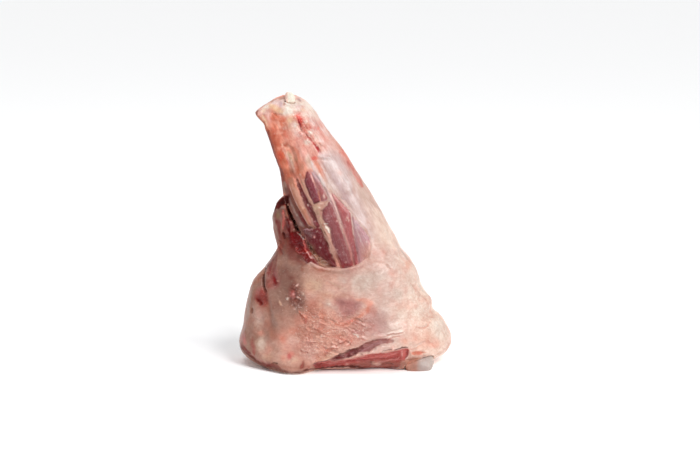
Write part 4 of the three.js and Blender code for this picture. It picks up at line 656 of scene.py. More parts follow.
    spot("fat_tan", 0.3, 340, 272, 8, 3), spot("tan", 0.35, 326, 272, 6, 2.4), spot("fat_dull", 0.5, 294, 271, 5, 5), line("umber", 0.6, 1.8, [(264, 272), (262.6, 279), (262.4, 286)]), spot("mauve", 0.5, 358, 332, 6, 3), spot("fat_rosy", 0.5, 374, 296, 6, 5),
    spot("gum", 0.35, 342, 343, 6, 4), patch("chestnut", 0.9, 3.0, [(288, 247), (294, 251.6), (300, 256.6), (306, 263), (303, 265), (296, 262), (288, 258)]), patch("olive", 0.55, 2.0, [(311, 247), (316, 252), (322, 258), (330, 265), (322, 266), (315, 260), (311, 253)]), line("sand", 0.6, 0.7, [(315, 254), (320, 259), (326, 264)]), line("umber", 0.8, 0.6, [(306, 242), (310, 249.4), (314, 256.4), (318, 261.6)]), spot("tan", 0.5, 304, 263.6, 3, 1.4, 35), spot("blood_dark", 0.7, 306.4, 261, 2, 1.4, 35), spot("maroon", 0.5, 292.4, 250, 2.4, 3, -35), spot("umber", 0.6, 299.6, 257.6, 3.4, 2.2, 40), spot("umber", 0.6, 286.4, 240, 1.5, 3.4), line("umber", 0.8, 1.4, [(264.4, 270.6), (263.2, 276), (263, 282)]), spot("chestnut", 0.6, 270.6, 262.4, 2.6, 3, 30),
    # ---- front of the cut
    patch("mauve_dark", 1.0, 0.9, CUT_LEAN), patch("chestnut", 0.9, 1.2, [(332, 359), (338, 355.6), (344, 354.6), (349, 350.8), (354, 350), (356, 352.6), (352, 355.6), (344, 357.4)]),
    # the umber lines and the near-black spot along the lower left of the bare lean are painted shadow under the fat's
    # lip
    line("umber", 0.9, 1.3, [(334, 358), (338, 356), (342.6, 355)]), spot("crease_shade", 0.8, 339.4, 355, 1.6, 1.0, -20), spot("wine", 0.6, 351, 352.6, 3, 2, -20), line("umber", 0.8, 0.8, [(346, 352.6), (350.6, 350.4), (356, 349.6)]),
    spot("mauve", 0.7, 380, 341.4, 6, 2, -14), spot("fat_rosy", 0.5, 391, 341, 3, 1.4, 0), spot("heather", 0.4, 366, 349, 3, 1.6, -30), line("chestnut", 0.75, 0.8, [(357, 348), (363, 344.4), (370, 341.6), (378, 339.4), (386, 338.8)]),
    spot("chestnut", 0.5, 371.6, 343, 2, 1.4, -20), line("veiled", 0.5, 0.7, [(362, 350.4), (367, 347.4), (373, 344.4), (380, 342.6)]), spot("veiled", 0.6, 359, 351, 2.4, 1.2, -20),
    patch("strip", 1.0, 0.9, CUT_RED), spot("strip_light", 0.6, 386, 356, 7, 2.4, -6), spot("strip_light", 0.75, 403, 353, 3, 3.4, 0), spot("strip_light", 0.4, 396, 354, 4, 2.4, 0), spot("crimson", 0.25, 389, 356.6, 5, 1.6, 0),
    # the browner band over the strip's lower part, where it turns under, is partly its own browner red and partly
    # painted shade
    patch("strip_brown", 0.85, 1.6, [(366, 361), (376, 360.4), (388, 360), (398, 361), (404, 361), (402, 366), (388, 369), (368, 368), (350, 367), (352, 364)]),
    spot("mauve", 0.5, 335, 361.4, 4, 1.4, 0), spot("maroon", 0.7, 318, 364.4, 4.6, 2.2, -10), line("pink", 0.4, 0.7, [(322, 362.4), (330, 363), (338, 362.4)]), spot("blood", 0.4, 352, 361, 6, 1.6, -8), spot("blood", 0.4, 366, 358.6, 4, 1.6, -8),
    line("fat_rosy", 0.6, 0.8, [(336, 359.6), (345, 358.8), (354, 357)]), spot("fat_rosy", 0.6, 347, 364.4, 1.8, 1.0, 0), spot("fat_flesh", 0.95, 375.4, 363, 3.6, 1.9, -8), spot("umber", 0.7, 370.4, 362.4, 1.6, 1.8, 0), line("umber", 0.6, 0.8, [(380, 364.6), (388, 363), (394, 364.6)]),
    # the glint line at (402, 351) is a painted highlight
    line("pink", 0.4, 0.6, [(384, 357.4), (392, 354.8), (399, 353)]), line("maroon", 0.5, 0.7, [(380, 358.6), (389, 358.6), (398, 357.6)]), line("glint", 0.35, 0.6, [(402, 351), (403, 356)]), line("maroon", 0.6, 0.8, [(407.4, 351), (407.6, 355), (405.6, 359)]),
    # the near-black line along the bottom edge is painted shade where the cut meets the floor
    line("crease_shade", 0.9, 0.9, [(314, 368.8), (330, 367.2), (345, 366.6), (356, 366.8), (366, 368), (380, 368.8), (390, 367.4), (402, 367.2)]),
    patch("fat_pale", 1.0, 0.9, [(372.6, 351.8), (376.6, 348), (382, 345), (388, 344), (392, 346), (396, 347), (394, 349.4), (387, 350), (381, 351.4), (376, 353)]), spot("fat_rosy", 0.5, 388, 348, 4, 1.6, 0),
    # the umber and near-black lines under the pale fat ridge are painted shadow
    line("umber", 0.9, 0.65, [(381.4, 351.4), (386, 350.2), (391.6, 350)]), line("crease_shade", 0.9, 0.75, [(394.6, 350), (400, 348.4), (404, 347.4), (407.4, 347.8)]), line("fat_rosy", 0.8, 0.8, [(383, 352.6), (387, 352.4), (391, 352)]),
    spot("fat_rosy", 0.7, 359, 352.4, 2, 1.4, 0), spot("umber", 0.8, 361.8, 354.2, 1.4, 1.0, 0), line("fat_rosy", 0.7, 0.8, [(364, 353.4), (372, 352.4)]),
    patch("plum_dark", 0.85, 1.0, [(330, 360.6), (336, 356.6), (342, 354.4), (347, 352.4), (352, 350), (357, 348.4), (362, 346), (363, 349), (359, 352), (354, 355), (348, 357.2), (340, 359.6)]), spot("mauve", 0.5, 352.4, 354, 1.6, 1.0, -25), spot("mauve_dark", 0.7, 345, 355.6, 2, 1.0, -20), spot("mauve", 0.4, 359.4, 349, 1.4, 1.2, -30),
    # the umber and near-black lines along the lower edge of the bare lean are painted shadow under the fat's lip
    line("umber", 0.85, 0.8, [(313, 364), (320, 361.2), (328, 359.8), (334, 357), (339, 354.6), (344, 353.2), (348, 350.6), (353, 349.2), (358, 348.2), (363, 344.4)]), line("crease_shade", 0.6, 0.6, [(336, 356), (340, 354), (344, 353)]), line("crease_shade", 0.6, 0.6, [(348, 351), (353, 349.4), (357, 348.6)]),
    # the pale tan patch under the knee lobe, from (410, 355.4) to (432, 356.8), is painted shadow
    patch("tan_pale", 0.8, 2, [(410, 355.4), (418, 355.8), (426, 356.2), (432, 356.8), (424, 360), (412, 361)]), line("pink", 0.3, 0.7, [(318, 362.4), (330, 361), (345, 360), (360, 357.4), (372, 355)]), line("strip_light", 0.7, 0.9, [(362, 359), (376, 356.6), (390, 355), (402, 353)]),
    line("strip_light", 0.4, 0.7, [(330, 364), (346, 363), (362, 362)]), line("blood", 0.5, 0.6, [(340, 362), (356, 360.4), (372, 359), (388, 357.6)]), line("pink", 0.5, 0.5, [(376, 362), (388, 360.6), (400, 358)]), spot("fat_rosy", 0.6, 378, 364, 2.4, 1.4, -10),
    # ---- joint tissue beside the bone
    # the brown line along the tissue's top from (406, 360) to (418, 358) is partly its own brown and partly painted
    # shade under the fat's edge
    patch("tissue", 1.0, 1.2, [(401, 362), (405, 360.4), (409, 359), (418, 357.6), (421, 360), (421, 371), (410, 371), (401, 369)]), spot("brown", 0.8, 403.4, 364.6, 3.4, 2.8, 0), line("brown", 0.7, 0.9, [(406, 360), (411, 359), (418, 358)]),
    spot("coral", 0.8, 417, 365.6, 2.0, 3.0, 0), line("brown", 0.5, 0.9, [(402, 368), (409, 369), (416, 370)]), spot("apricot", 0.4, 411, 365, 4, 2.6, 0),
]

# raised and sunk lines: height in mm, half width in pixels, points
RIDGES = [
    # leg
    (0.8, 3.6, [(266, 120), (270, 131), (275, 144), (280, 157), (285, 170), (290, 183)]),
    (0.6, 1.9, [(282, 145), (286, 150), (290, 156), (293, 163), (296, 170), (298, 177)]),
    (-0.2, 2.0, [(290, 147), (294, 155), (297, 163), (299, 171)]), (-0.3, 1.4, [(284, 153), (287, 160), (290, 168)]),
    (0.6, 2.6, [(297, 139), (301, 147), (304, 155), (307, 163)]),
    (-0.35, 1.2, [(297, 115), (298.5, 119), (299.4, 123), (300.2, 127), (302, 131)]), (-0.3, 1.0, [(304.4, 132.6), (308, 137), (312, 142), (316.6, 148), (320.6, 153.4)]),
    (0.5, 1.8, [(301, 117), (303, 123), (306, 129), (311, 135), (316, 142), (321, 149)]), (0.4, 1.8, [(295, 117), (296.4, 124), (299, 131), (304, 138), (311, 146)]),
    (-0.25, 1.0, [(318, 142.6), (319.6, 144.6), (322.6, 146.6)]), (0.4, 1.2, [(318, 156), (324, 157), (332, 158)]), (-0.4, 1.0, [(318, 159), (326, 160)]),
    (-0.9, 1.0, [(284.6, 100.6), (288, 102), (292, 102.8), (296, 103)]), (-0.7, 1.3, [(259, 116), (265, 112.6), (271, 111.8), (277, 113.8), (283, 116)]), (-0.5, 1.0, [(273, 112.4), (276, 114.4), (279, 117)]),
    (0.35, 1.6, [(312, 120), (319, 130), (327, 142)]), (-0.3, 1.4, [(316, 119), (323, 131), (331, 144)]),
    # silverskin and tendons
    (0.3, 1.8, [(317, 160), (322, 167.6), (327, 175), (332, 184), (336.6, 192.4)]), (-0.2, 1.8, [(320.6, 163), (325, 170), (330, 178), (335, 187)]), (0.15, 2.6, [(328, 157), (334, 165), (339, 173), (344, 183), (350, 195)]),
    (-0.15, 1.4, [(337, 187), (344, 198), (350, 207), (356, 215)]), (0.8, 3.0, [(289, 180), (293, 188), (297, 198), (302, 209), (307, 219), (311, 226)]), (-0.9, 1.2, [(288.6, 189), (291.4, 195.6), (295, 204), (299.6, 212.6), (304.6, 221.4), (307, 225)]),
    (-0.7, 1.4, [(296.4, 178), (299.6, 187), (302.6, 193.4), (305, 199.6), (308, 206.6), (311.4, 213), (314.6, 219), (317.4, 225)]), (0.6, 1.8, [(300, 175), (302.6, 182), (305.4, 189), (308.4, 196), (311.6, 202.6)]),
    (0.35, 1.5, [(310.6, 162), (314.6, 168.6), (319, 176), (323, 183), (327, 190), (330, 196.6), (332.4, 202), (336.4, 212), (340, 221), (344, 231.4), (348, 243), (351, 253), (353.6, 264)]),
    (0.25, 0.9, [(309.6, 172), (313, 179.6), (316.2, 187), (318.8, 193.4), (320.6, 199)]), (0.3, 1.3, [(336, 196), (343, 202.6), (349, 208.6), (355, 216.6), (362, 225.6), (368, 233.6)]),
    (0.5, 1.5, [(321, 224), (324.6, 231), (328.6, 237.6), (332, 244), (335.2, 251), (338.2, 258.6)]), (0.5, 1.2, [(325.6, 226), (327.4, 229), (329.6, 233)]),
    (0.7, 1.7, [(310, 262.8), (315, 265.6), (320.6, 268.4), (328, 270), (338, 270.6), (347, 270), (354, 268), (361, 264.4), (366.6, 258.6)]),
    # heel muscle
    (0.5, 1.6, [(283.4, 211), (284, 217), (284.2, 223), (283.2, 229)]), (-0.9, 1.5, [(286.6, 219), (287.4, 227), (288.6, 235), (290.4, 243)]), (-0.8, 1.1, [(283.4, 232), (284.2, 235.4), (285, 239)]),
    (-0.6, 1.1, [(279.6, 240), (281.6, 244), (283, 248)]), (-0.7, 1.2, [(278.6, 247), (280.6, 251), (283, 255)]), (0.5, 1.2, [(289.8, 219), (291.6, 224.4), (294, 229), (295.6, 231.6)]),
    # heel side of the base
    (-2.0, 1.15, [(265.4, 265), (263.6, 273), (263, 280), (264, 287), (266, 294)]), (0.8, 2.6, [(268.6, 270), (267.6, 280), (268.4, 290)]), (-0.8, 2.8, [(267, 299), (268.4, 308), (269.6, 317), (271.6, 327)]),
    (-0.8, 1.4, [(256.6, 299.4), (259, 302), (262.4, 304.8)]), (-0.6, 1.0, [(252, 307), (251.8, 313.4)]), (0.5, 2.2, [(275, 314), (278, 322), (281, 328)]), (-0.8, 1.0, [(271, 363.8), (274, 363.2), (277.4, 363.8)]),
    # wrinkles of the middle
    (-0.6, 0.9, [(354, 318.8), (358, 319.8), (362.6, 322.6)]), (0.5, 1.2, [(356.6, 322), (361, 323.8), (364.6, 325.4)]), (-0.4, 0.9, [(351, 325.6), (356, 327.2), (360, 329)]), (-0.4, 0.9, [(344, 328.6), (350, 328.4), (357, 330.6)]),
    (0.5, 1.2, [(352, 333.6), (356, 335), (360, 336.6)]), (-0.35, 1.0, [(330, 319.6), (337, 322.4), (344, 322), (350, 320.4)]), (0.4, 1.6, [(332, 325), (339, 326.4), (347, 327)]), (0.5, 1.5, [(337, 340.6), (341.4, 341), (345, 339.4)]),
    (-0.7, 0.9, [(336.4, 345.6), (340, 344.6), (343.6, 342.6), (346, 341.2), (349, 343), (351.6, 345.2)]), (0.5, 1.1, [(330.6, 346.8), (334.6, 347), (338.6, 348)]), (-0.5, 0.9, [(322, 348.6), (328, 349.4), (333.6, 351.6), (340, 353)]),
    (-0.35, 1.0, [(334, 331), (341, 332.6), (348, 332)]), (-0.35, 0.9, [(337, 336.6), (343, 336), (348, 338)]), (-0.3, 1.2, [(320, 280), (328, 282), (334, 286.4), (341, 289.6)]), (0.3, 1.4, [(330, 280), (338, 284), (346, 287.6)]),
    (-0.4, 1.2, [(299, 313), (302, 318), (304.6, 323)]), (0.4, 1.3, [(301.6, 312), (305, 317), (308.6, 322)]), (-0.4, 0.9, [(305.4, 343.2), (308.6, 344.8), (312.4, 344)]), (0.4, 1.2, [(307, 341.6), (313, 340.6)]),
    # knee side
    (-0.7, 1.0, [(410.6, 282.6), (415.6, 288.6), (420, 292.6), (424, 296), (427, 299.6)]), (0.5, 1.5, [(413, 281.4), (418, 287.4), (423, 292), (428, 296)]), (-0.4, 1.0, [(386.4, 264.4), (388.6, 266), (391, 268.4)]),
    (-0.4, 1.0, [(423, 312.6), (427, 316), (433, 317.6)]), (-0.45, 1.0, [(416.6, 326.8), (422, 327.8), (427, 326), (430.4, 322)]), (0.35, 1.3, [(416, 324.4), (422, 325), (427, 322.6)]), (-0.3, 1.0, [(420, 318.4), (425, 319.2), (430, 316)]),
    (-0.35, 1.1, [(418, 345), (425, 341.6), (433, 343.6)]), (-0.35, 0.9, [(384, 336), (391, 334.4), (398, 333.6), (404, 332)]), (-0.35, 0.9, [(388, 338.6), (394, 336.6), (400, 336)]), (-0.3, 0.9, [(391, 331.4), (397, 330.4), (402, 328)]), (-0.3, 1.2, [(436, 333), (440, 338), (441, 345)]),
    (-0.3, 1.0, [(426, 332), (431, 336), (434, 341)]),
    # front of the cut
    (0.7, 1.6, [(322, 359.6), (330, 355), (337, 351), (345, 347.8), (352, 345), (358, 342.4), (366, 339.4), (376, 337), (386, 336.4), (393, 337.4)]), (0.9, 1.8, [(375, 351.4), (380, 348.4), (387, 346.6), (394, 347.6)]),
    (0.5, 1.4, [(409.4, 350.6), (411, 354), (410, 358)]), (-0.5, 1.2, [(412, 353.4), (418, 353), (425, 353.8)]), (0.4, 1.2, [(314, 362), (320, 360), (328, 358.6)]), (0.3, 0.8, [(320, 363), (332, 362.4), (346, 361), (360, 358.6), (374, 356.6), (388, 355)]),
    (-0.4, 0.8, [(330, 364.6), (346, 363), (362, 360.6), (378, 359), (394, 358)]),
]
LUMPS = [
    (0.9, (288, 110, 5.5, 4, 0)), (0.5, (303, 109, 6, 4, 20)), (0.6, (270, 106.6, 7, 3, -25)), (0.5, (292, 124, 4, 7, 0)), (0.5, (277, 121, 6, 5, 0)), (-0.4, (283, 124, 3, 5, 0)),
    (-0.6, (274.2, 280, 2.2, 4, 0)), (-0.4, (348, 306, 9, 6, 15)), (0.5, (429.6, 297.6, 2.8, 2.8, 30)), (-0.2, (432, 306, 2.4, 2.6, 0)),
    (0.7, (281.6, 212, 4, 6, 0)), (0.5, (375.4, 363, 3.6, 2.2, 0)), (0.6, (318, 210, 4, 8, -15)), (0.35, (347.6, 218.6, 1.6, 1.8, 0)),
    (0.4, (296.4, 285.6, 2.2, 1.2, -40)), (0.4, (298.2, 297.6, 1.6, 1.0, 30)), (0.35, (287, 298.6, 1.2, 1.2, 0)), (0.4, (329, 304, 3, 2.4, 20)), (0.35, (369, 303, 4, 3, 0)),
]

# ---------------------------------------------------------------- meat: field
leg = loft(LEG, 2.1)
base = loft(BASE, 2.15, base_relief)
heel = loft(HEEL, 2.1)
z_grid = GZ[None, None, :] + np.zeros_like(leg)
y_grid = GY[None, :, None] + np.zeros_like(leg)
heel = np.maximum(heel, np.minimum(np.minimum(1.2 - leg, heel + 7.0), np.minimum(z_grid - 60.0, 5.0 - y_grid)))
body = smin(smin(leg, base, 4.0), heel, 1.6)
body = smin(body, loft(TAG, 2.4), 2.5)

# fields laid on from the front, where the picture plane tells them apart
grid = np.stack(np.meshgrid(GX, GY, GZ, indexing="ij"), -1).reshape(-1, 3)
flat = body.reshape(-1)
front_y = np.where((grid[:, 0] < -22) & (grid[:, 2] > 56) & (grid[:, 2] < 98), 14.0, 0.5)
band = np.nonzero((np.abs(flat) < 10.0) & (grid[:, 1] < front_y + 12.0))[0]
facing = 1 - smooth(front_y[band] + 1, front_y[band] + 10, grid[band, 1])
bx, by = picture(grid[band])
window = within(bx, by, WINDOW) * PX
shell = leg.reshape(-1)[band] + 0.4 + 1.5 * smooth(190, 262, by)
cut = np.minimum(-window, shell)
f = flat[band]
f = np.where(facing > 0, smax(f, np.where(facing > 0.5, cut, -9.0), 1.6), f)
cleft = within(bx, by, CLEFT) * PX
f = f + facing * (2.6 - 1.7 * smooth(224, 240, by)) * smooth(0.7, -0.9, cleft)
f = f + facing * 2.6 * smooth(0.7, -1.0, within(bx, by, CUT_LEAN) * PX)
f = f + facing * 0.5 * smooth(0.7, -1.0, within(bx, by, CUT_RED) * PX)
flat[band] = f
body = flat.reshape(body.shape)
body = np.maximum(body, np.minimum(0.5 - loft(BONE, bone_power(GZ)[None, None, :]), 16.0 - z_grid))
body = np.maximum(body, -z_grid)


# ---------------------------------------------------------------- meat: skin of faces
def surface(field):
    """Quad skin of the zero level of a field on the grid."""
    inside = field < 0
    count = sum(inside[a:a + field.shape[0] - 1, b:b + field.shape[1] - 1, c:c + field.shape[2] - 1].astype(np.int8)
                for a in (0, 1) for b in (0, 1) for c in (0, 1))
    active = (count > 0) & (count < 8)
    ci, cj, ck = np.nonzero(active)
    number = np.full(active.shape, -1, np.int64)
    number[active] = np.arange(len(ci))
    acc, hits = np.zeros((len(ci), 3)), np.zeros(len(ci))
    corners = [(a, b, c) for a in (0, 1) for b in (0, 1) for c in (0, 1)]
    for m in range(8):
        for n in range(m + 1, 8):
            p, q = np.array(corners[m]), np.array(corners[n])
            if np.abs(p - q).sum() != 1:
                continue
            fp = field[ci + p[0], cj + p[1], ck + p[2]]
            fq = field[ci + q[0], cj + q[1], ck + q[2]]
            cross = (fp < 0) != (fq < 0)
            t = fp[cross] / (fp[cross] - fq[cross])
            acc[cross] += p + t[:, None] * (q - p)
            hits[cross] += 1
    verts = acc / hits[:, None] + np.stack([ci, cj, ck], 1)
    verts = verts * STEP + np.array([GX[0], GY[0], GZ[0]])
    faces = []
    for axis in range(3):
        u, v = (axis + 1) % 3, (axis + 2) % 3
        lo = [slice(1, n - 1) for n in field.shape]
        hi = [slice(1, n - 1) for n in field.shape]
        lo[axis], hi[axis] = slice(0, field.shape[axis] - 1), slice(1, field.shape[axis])
        s0, s1 = inside[tuple(lo)], inside[tuple(hi)]
        i, j, k = np.nonzero(s0 != s1)
        at = np.stack([i, j, k], 1)
        at[:, u] += 1
        at[:, v] += 1
        ring = []
        for du, dv in ((-1, -1), (0, -1), (0, 0), (-1, 0)):
            cell = at.copy()
            cell[:, u] += du
            cell[:, v] += dv
            ring.append(number[cell[:, 0], cell[:, 1], cell[:, 2]])
        quad = np.stack(ring, 1)
        out = s0[i, j, k]
        quad[~out] = quad[~out][:, ::-1]
        faces.append(quad)
    return verts, [tuple(q) for q in np.vstack(faces).tolist()]


def sample(field, p):
    q = (p - np.array([GX[0], GY[0], GZ[0]])) / STEP
    i = np.clip(np.floor(q).astype(int), 0, np.array(field.shape) - 2)
    f = np.clip(q - i, 0, 1)
    out = np.zeros(len(p))
    for a in (0, 1):
        for b in (0, 1):
            for c in (0, 1):
                w = (f[:, 0] if a else 1 - f[:, 0]) * (f[:, 1] if b else 1 - f[:, 1]) * (f[:, 2] if c else 1 - f[:, 2])
                out += w * field[i[:, 0] + a, i[:, 1] + b, i[:, 2] + c]
    return out


SLOPE = np.gradient(body, STEP)


def settle(verts, field, rounds, edges):
    """Evens the skin out and puts it back on the zero level."""
    for _ in range(rounds):
        acc, n = np.zeros_like(verts), np.bincount(edges.ravel(), minlength=len(verts))
        for c in range(3):
            acc[:, c] = (np.bincount(edges[:, 0], verts[edges[:, 1], c], len(verts))
                         + np.bincount(edges[:, 1], verts[edges[:, 0], c], len(verts)))
        verts = verts + 0.5 * (acc / n[:, None] - verts)
        for _ in range(2):
            g = np.stack([sample(s, verts) for s in SLOPE], 1)
            g2 = np.maximum((g * g).sum(1), 0.15)
            move = g * (sample(field, verts) / g2)[:, None]
            size = np.sqrt((move * move).sum(1))
            verts = verts - move * np.minimum(1, 0.7 / np.maximum(size, 1e-9))[:, None]
    return verts


def sorts(faces):
    """Faces in arrays, one for each number of corners."""
    sizes = np.array([len(f) for f in faces])
    return [np.array([faces[i] for i in np.nonzero(sizes == n)[0]]) for n in np.unique(sizes)]


def edge_list(faces):
    e = np.vstack([np.stack([g[:, a], g[:, (a + 1) % g.shape[1]]], 1) for g in sorts(faces) for a in range(g.shape[1])])
    e.sort(1)
    return np.unique(e, axis=0)


def normals(verts, faces):
    acc = np.zeros_like(verts)
    for g in sorts(faces):
        n = sum(np.cross(verts[g[:, a]] - verts[g[:, 0]], verts[g[:, a + 1]] - verts[g[:, 0]]) for a in range(1, g.shape[1] - 1))
        for a in range(g.shape[1]):
            for c in range(3):
                acc[:, c] += np.bincount(g[:, a], n[:, c], len(verts))
    return acc / np.maximum(np.linalg.norm(acc, axis=1), 1e-12)[:, None]


def refine(verts, faces, chosen):
    """Splits the chosen quads in four; faces beside them take the new edge points."""
    edges, new, out = {}, [], []
    count = len(verts)
    for q, pick in zip(faces, chosen):
        if not pick:
            continue
        m = []
        for i in range(4):
            a, b = q[i], q[(i + 1) % 4]
            key = (a, b) if a < b else (b, a)
            if key not in edges:
                edges[key] = count
                new.append((verts[a] + verts[b]) / 2)
                count += 1
            m.append(edges[key])
        new.append((verts[q[0]] + verts[q[1]] + verts[q[2]] + verts[q[3]]) / 4)
        out.extend((q[i], m[i], count, m[i - 1]) for i in range(4))
        count += 1
    for q, pick in zip(faces, chosen):
        if pick:
            continue
        loop = []
        for i in range(len(q)):
            a, b = q[i], q[(i + 1) % len(q)]
            loop.append(a)
            key = (a, b) if a < b else (b, a)
            if key in edges:
                loop.append(edges[key])
        out.append(tuple(loop))
    return np.vstack([verts, np.array(new)]), out


def centres(verts, faces):
    """Middle and unit normal of each face."""
    mid, way = np.zeros((len(faces), 3)), np.zeros((len(faces), 3))
    sizes = np.array([len(f) for f in faces])
    for g in sorts(faces):
        pick = sizes == g.shape[1]
        mid[pick] = verts[g].mean(1)
        way[pick] = np.cross(verts[g[:, 2]] - verts[g[:, 0]], verts[g[:, 3]] - verts[g[:, 1]]) if g.shape[1] > 3 else 0
    return mid, way / np.maximum(np.linalg.norm(way, axis=1), 1e-12)[:, None], sizes == 4


def lay(target, colour, weight):
    return target + (PALETTE[colour] - target) * np.clip(weight, 0, 1)[:, None]


def folds(qx, qy):
    """How much of a fold's crest, and of the crease under it, is at each place."""
    crest, crease = np.zeros(len(qx)), np.zeros(len(qx))
    for half, points in FOLDS:
        path = np.array(points, float)
        for target, drop, wide in ((crest, 0.0, half), (crease, 1.25 * half, 0.6 * half)):
            d, t = reach(qx, qy, curve(path + (0.0, drop)), 3 * wide + 1)
            ends = smooth(0, 0.2, t) * smooth(1, 0.8, t)
            np.maximum(target, np.exp(-((d / wide) ** 2)) * ends, out=target)
    return crest, crease


def paint(p, px, py):
    """Colours of the front as they look in the light: the fat cover and the marks on it, with the fold crests lightened
    as painted highlights and the creases under them darkened as painted shade.
    """
    qx = px + 0.45 * fbm(p, 5.0, 3, 11) + 0.5 * fbm(p, 1.7, 2, 151)
    qy = py + 0.45 * fbm(p, 5.0, 3, 23) + 0.5 * fbm(p, 1.7, 2, 157)
    ragged = np.clip(0.9 + 0.35 * fbm(p, 3.2, 2, 163), 0.4, 1.0)
    stops = np.array([s for s, _ in FAT_RUN], float)
    tones = np.array([PALETTE[c] for _, c in FAT_RUN])
    wander = qx + 5 * fbm(p, 16.0, 3, 61)
    tint = np.stack([np.interp(wander, stops, tones[:, c]) for c in range(3)], 1)
    for kind, colour, strength, width, shape in MARKS:
        if kind == "patch":
            weight = smooth(width, -width, within(qx, qy, shape, width + 1))
        elif kind == "line":
            d, t = reach(qx, qy, curve(shape), 2 * width + 2)
            taper = 0.4 + 0.6 * smooth(0, 0.2, t) * smooth(1, 0.8, t)
            weight = smooth(width * 1.35 * taper + 0.3, width * 0.35 * taper, d) * ragged
        else:
            weight = np.minimum(1.0, 1.35 * blob(qx, qy, *width)) * (0.5 + 0.5 * ragged)
        tint = lay(tint, colour, strength * weight)
    # fold crests lightened and the creases under them darkened: painted highlight and painted shade
    crest, crease = folds(qx, qy)
    return tint * (1 + crest[:, None] * np.array([0.14, 0.21, 0.24]) - crease[:, None] * np.array([0.14, 0.36, 0.4]))


def contrast(verts, faces, mid):
    """How much the colours change over each quad."""
    at_corner = np.sqrt(paint(verts, *picture(verts)))
    at_middle = np.sqrt(paint(mid, *picture(mid)))
    out = np.zeros(len(faces))
    sizes = np.array([len(f) for f in faces])
    quads = np.array([f for f in faces if len(f) == 4])
    spread = np.abs(at_corner[quads] - at_middle[sizes == 4][:, None, :]).max(1).sum(1)
    out[sizes == 4] = spread
    return out


MOST = 192000  # triangles of the meat

verts, faces = surface(body)
verts = settle(verts, body, 3, edge_list(faces))
mid, way, four = centres(verts, faces)
seen = ((way * (EYE - mid)).sum(1) > 0) & (mid[:, 2] > 0.3)
verts, faces = refine(verts, faces, seen & four)
verts = settle(verts, body, 1, edge_list(faces))
mid, way, four = centres(verts, faces)
seen = ((way * (EYE - mid)).sum(1) > 0) & (mid[:, 2] > 0.3)
room = int((MOST - sum(len(q) - 2 for q in faces)) / 7.2)
print("before the finest step", sum(len(q) - 2 for q in faces), "quads to split", room)
change = np.where(seen & four, contrast(verts, faces, mid), 0.0)
limit = max(np.sort(change)[-room], 0.02)
verts, faces = refine(verts, faces, change > limit)
verts = settle(verts, body, 1, edge_list(faces))
norm = normals(verts, faces)
print("meat triangles", sum(len(q) - 2 for q in faces))

px, py = picture(verts)
sight = EYE - verts
depth = np.linalg.norm(sight, axis=1)
turned = (norm * sight).sum(1) / depth
under = smooth(-0.75, -0.93, norm[:, 2]) * smooth(4.5, 2.0, verts[:, 2])

# what lies behind something nearer is left out of the front's marks
BIN = 1.5
bi, bj = (px / BIN).astype(int), (py / BIN).astype(int)
nearest = np.full((bi.max() + 3, bj.max() + 3), 1e9)
np.minimum.at(nearest, (bi, bj), np.where(turned > 0, depth, 1e9))
reachable = np.full(nearest.shape, -1e9)
for da in (-1, 0, 1):
    for db in (-1, 0, 1):
        moved = np.roll(np.roll(nearest, da, 0), db, 1)
        reachable = np.maximum(reachable, np.where(moved < 1e8, moved, -1e9))
hidden = smooth(8.0, 13.0, depth - reachable[bi, bj])
front = smooth(-0.14, 0.08, turned + 0.06 * fbm(verts, 7.0, 2, 211)) * (1 - under) * (1 - hidden)

# ---------------------------------------------------------------- meat: relief
rise = np.zeros(len(verts))
for height, half, points in RIDGES:
    d, t = reach(px, py, curve(points), 4 * half + 1)
    ends = smooth(0, 0.12, t) * smooth(1, 0.88, t)
    rise += height * front * np.exp(-((d / half) ** 2)) * (0.1 + 0.9 * ends)
for height, place in LUMPS:
    rise += height * front * blob(px, py, *place)
crest, crease = folds(px, py)
rise += front * (0.4 * crest - 0.2 * crease)

lean = np.zeros(len(verts))
best = np.full(len(verts), FAR)
grain = np.stack([verts[:, 0], verts[:, 2], verts[:, 1]], 1)
for number, (name, (outline, turn, swell)) in enumerate(MUSCLES.items()):
    d = np.where(front > 0.05, within(px, py, outline), FAR)
    lean = np.maximum(lean, smooth(0.7, -0.7, d))
    pick = (d < best) & (d < 6)
    best[pick] = d[pick]
    a = math.radians(turn)
    run, across = px * math.cos(a) + py * math.sin(a), -px * math.sin(a) + py * math.cos(a)
    grain[pick] = np.stack([across * PX, run * PX, np.full(len(px), 40.0 * number)], 1)[pick]
    if swell:
        rise += front * swell * smooth(0.5, -3.5, d) - front * 0.25 * bump(d, 0.3, 0.9)

# wrinkles and soft unevenness of the fat
fat_side = 1 - lean
swirl = np.stack([px * 0.55 + 5.0 * fbm(verts, 8.0, 2, 31), py * 1.0 + 5.0 * fbm(verts, 8.0, 2, 37), verts[:, 1] * 0.3], 1) * PX
wrinkle = ridged(swirl, 2.7, 2, 41) - 0.45
middle = front * np.maximum(smooth(8, -8, within(px, py, CRINKLED)), 0.7 * blob(px, py, 300, 302, 12, 12))
knee = front * np.clip(blob(px, py, 424, 312, 18, 28) * 1.2, 0, 1)
rise += fat_side * (0.75 * middle * wrinkle + 0.3 * knee * (ridged(verts, 4.0, 2, 57) - 0.45))
rise += fat_side * (0.28 * fbm(verts, 11.0, 3, 5) + 0.12 * fbm(verts, 3.0, 2, 7)) * (1 - 0.6 * under)
gash = front * np.clip(blob(px, py, 303, 128, 9, 22, -25), 0, 1)
torn = front * blob(px, py, 296, 295, 8, 9)
red = front * np.maximum(smooth(1.0, -1.0, within(px, py, MUSCLES["cleft"][0])), smooth(1.0, -1.0, within(px, py, CUT_RED)))
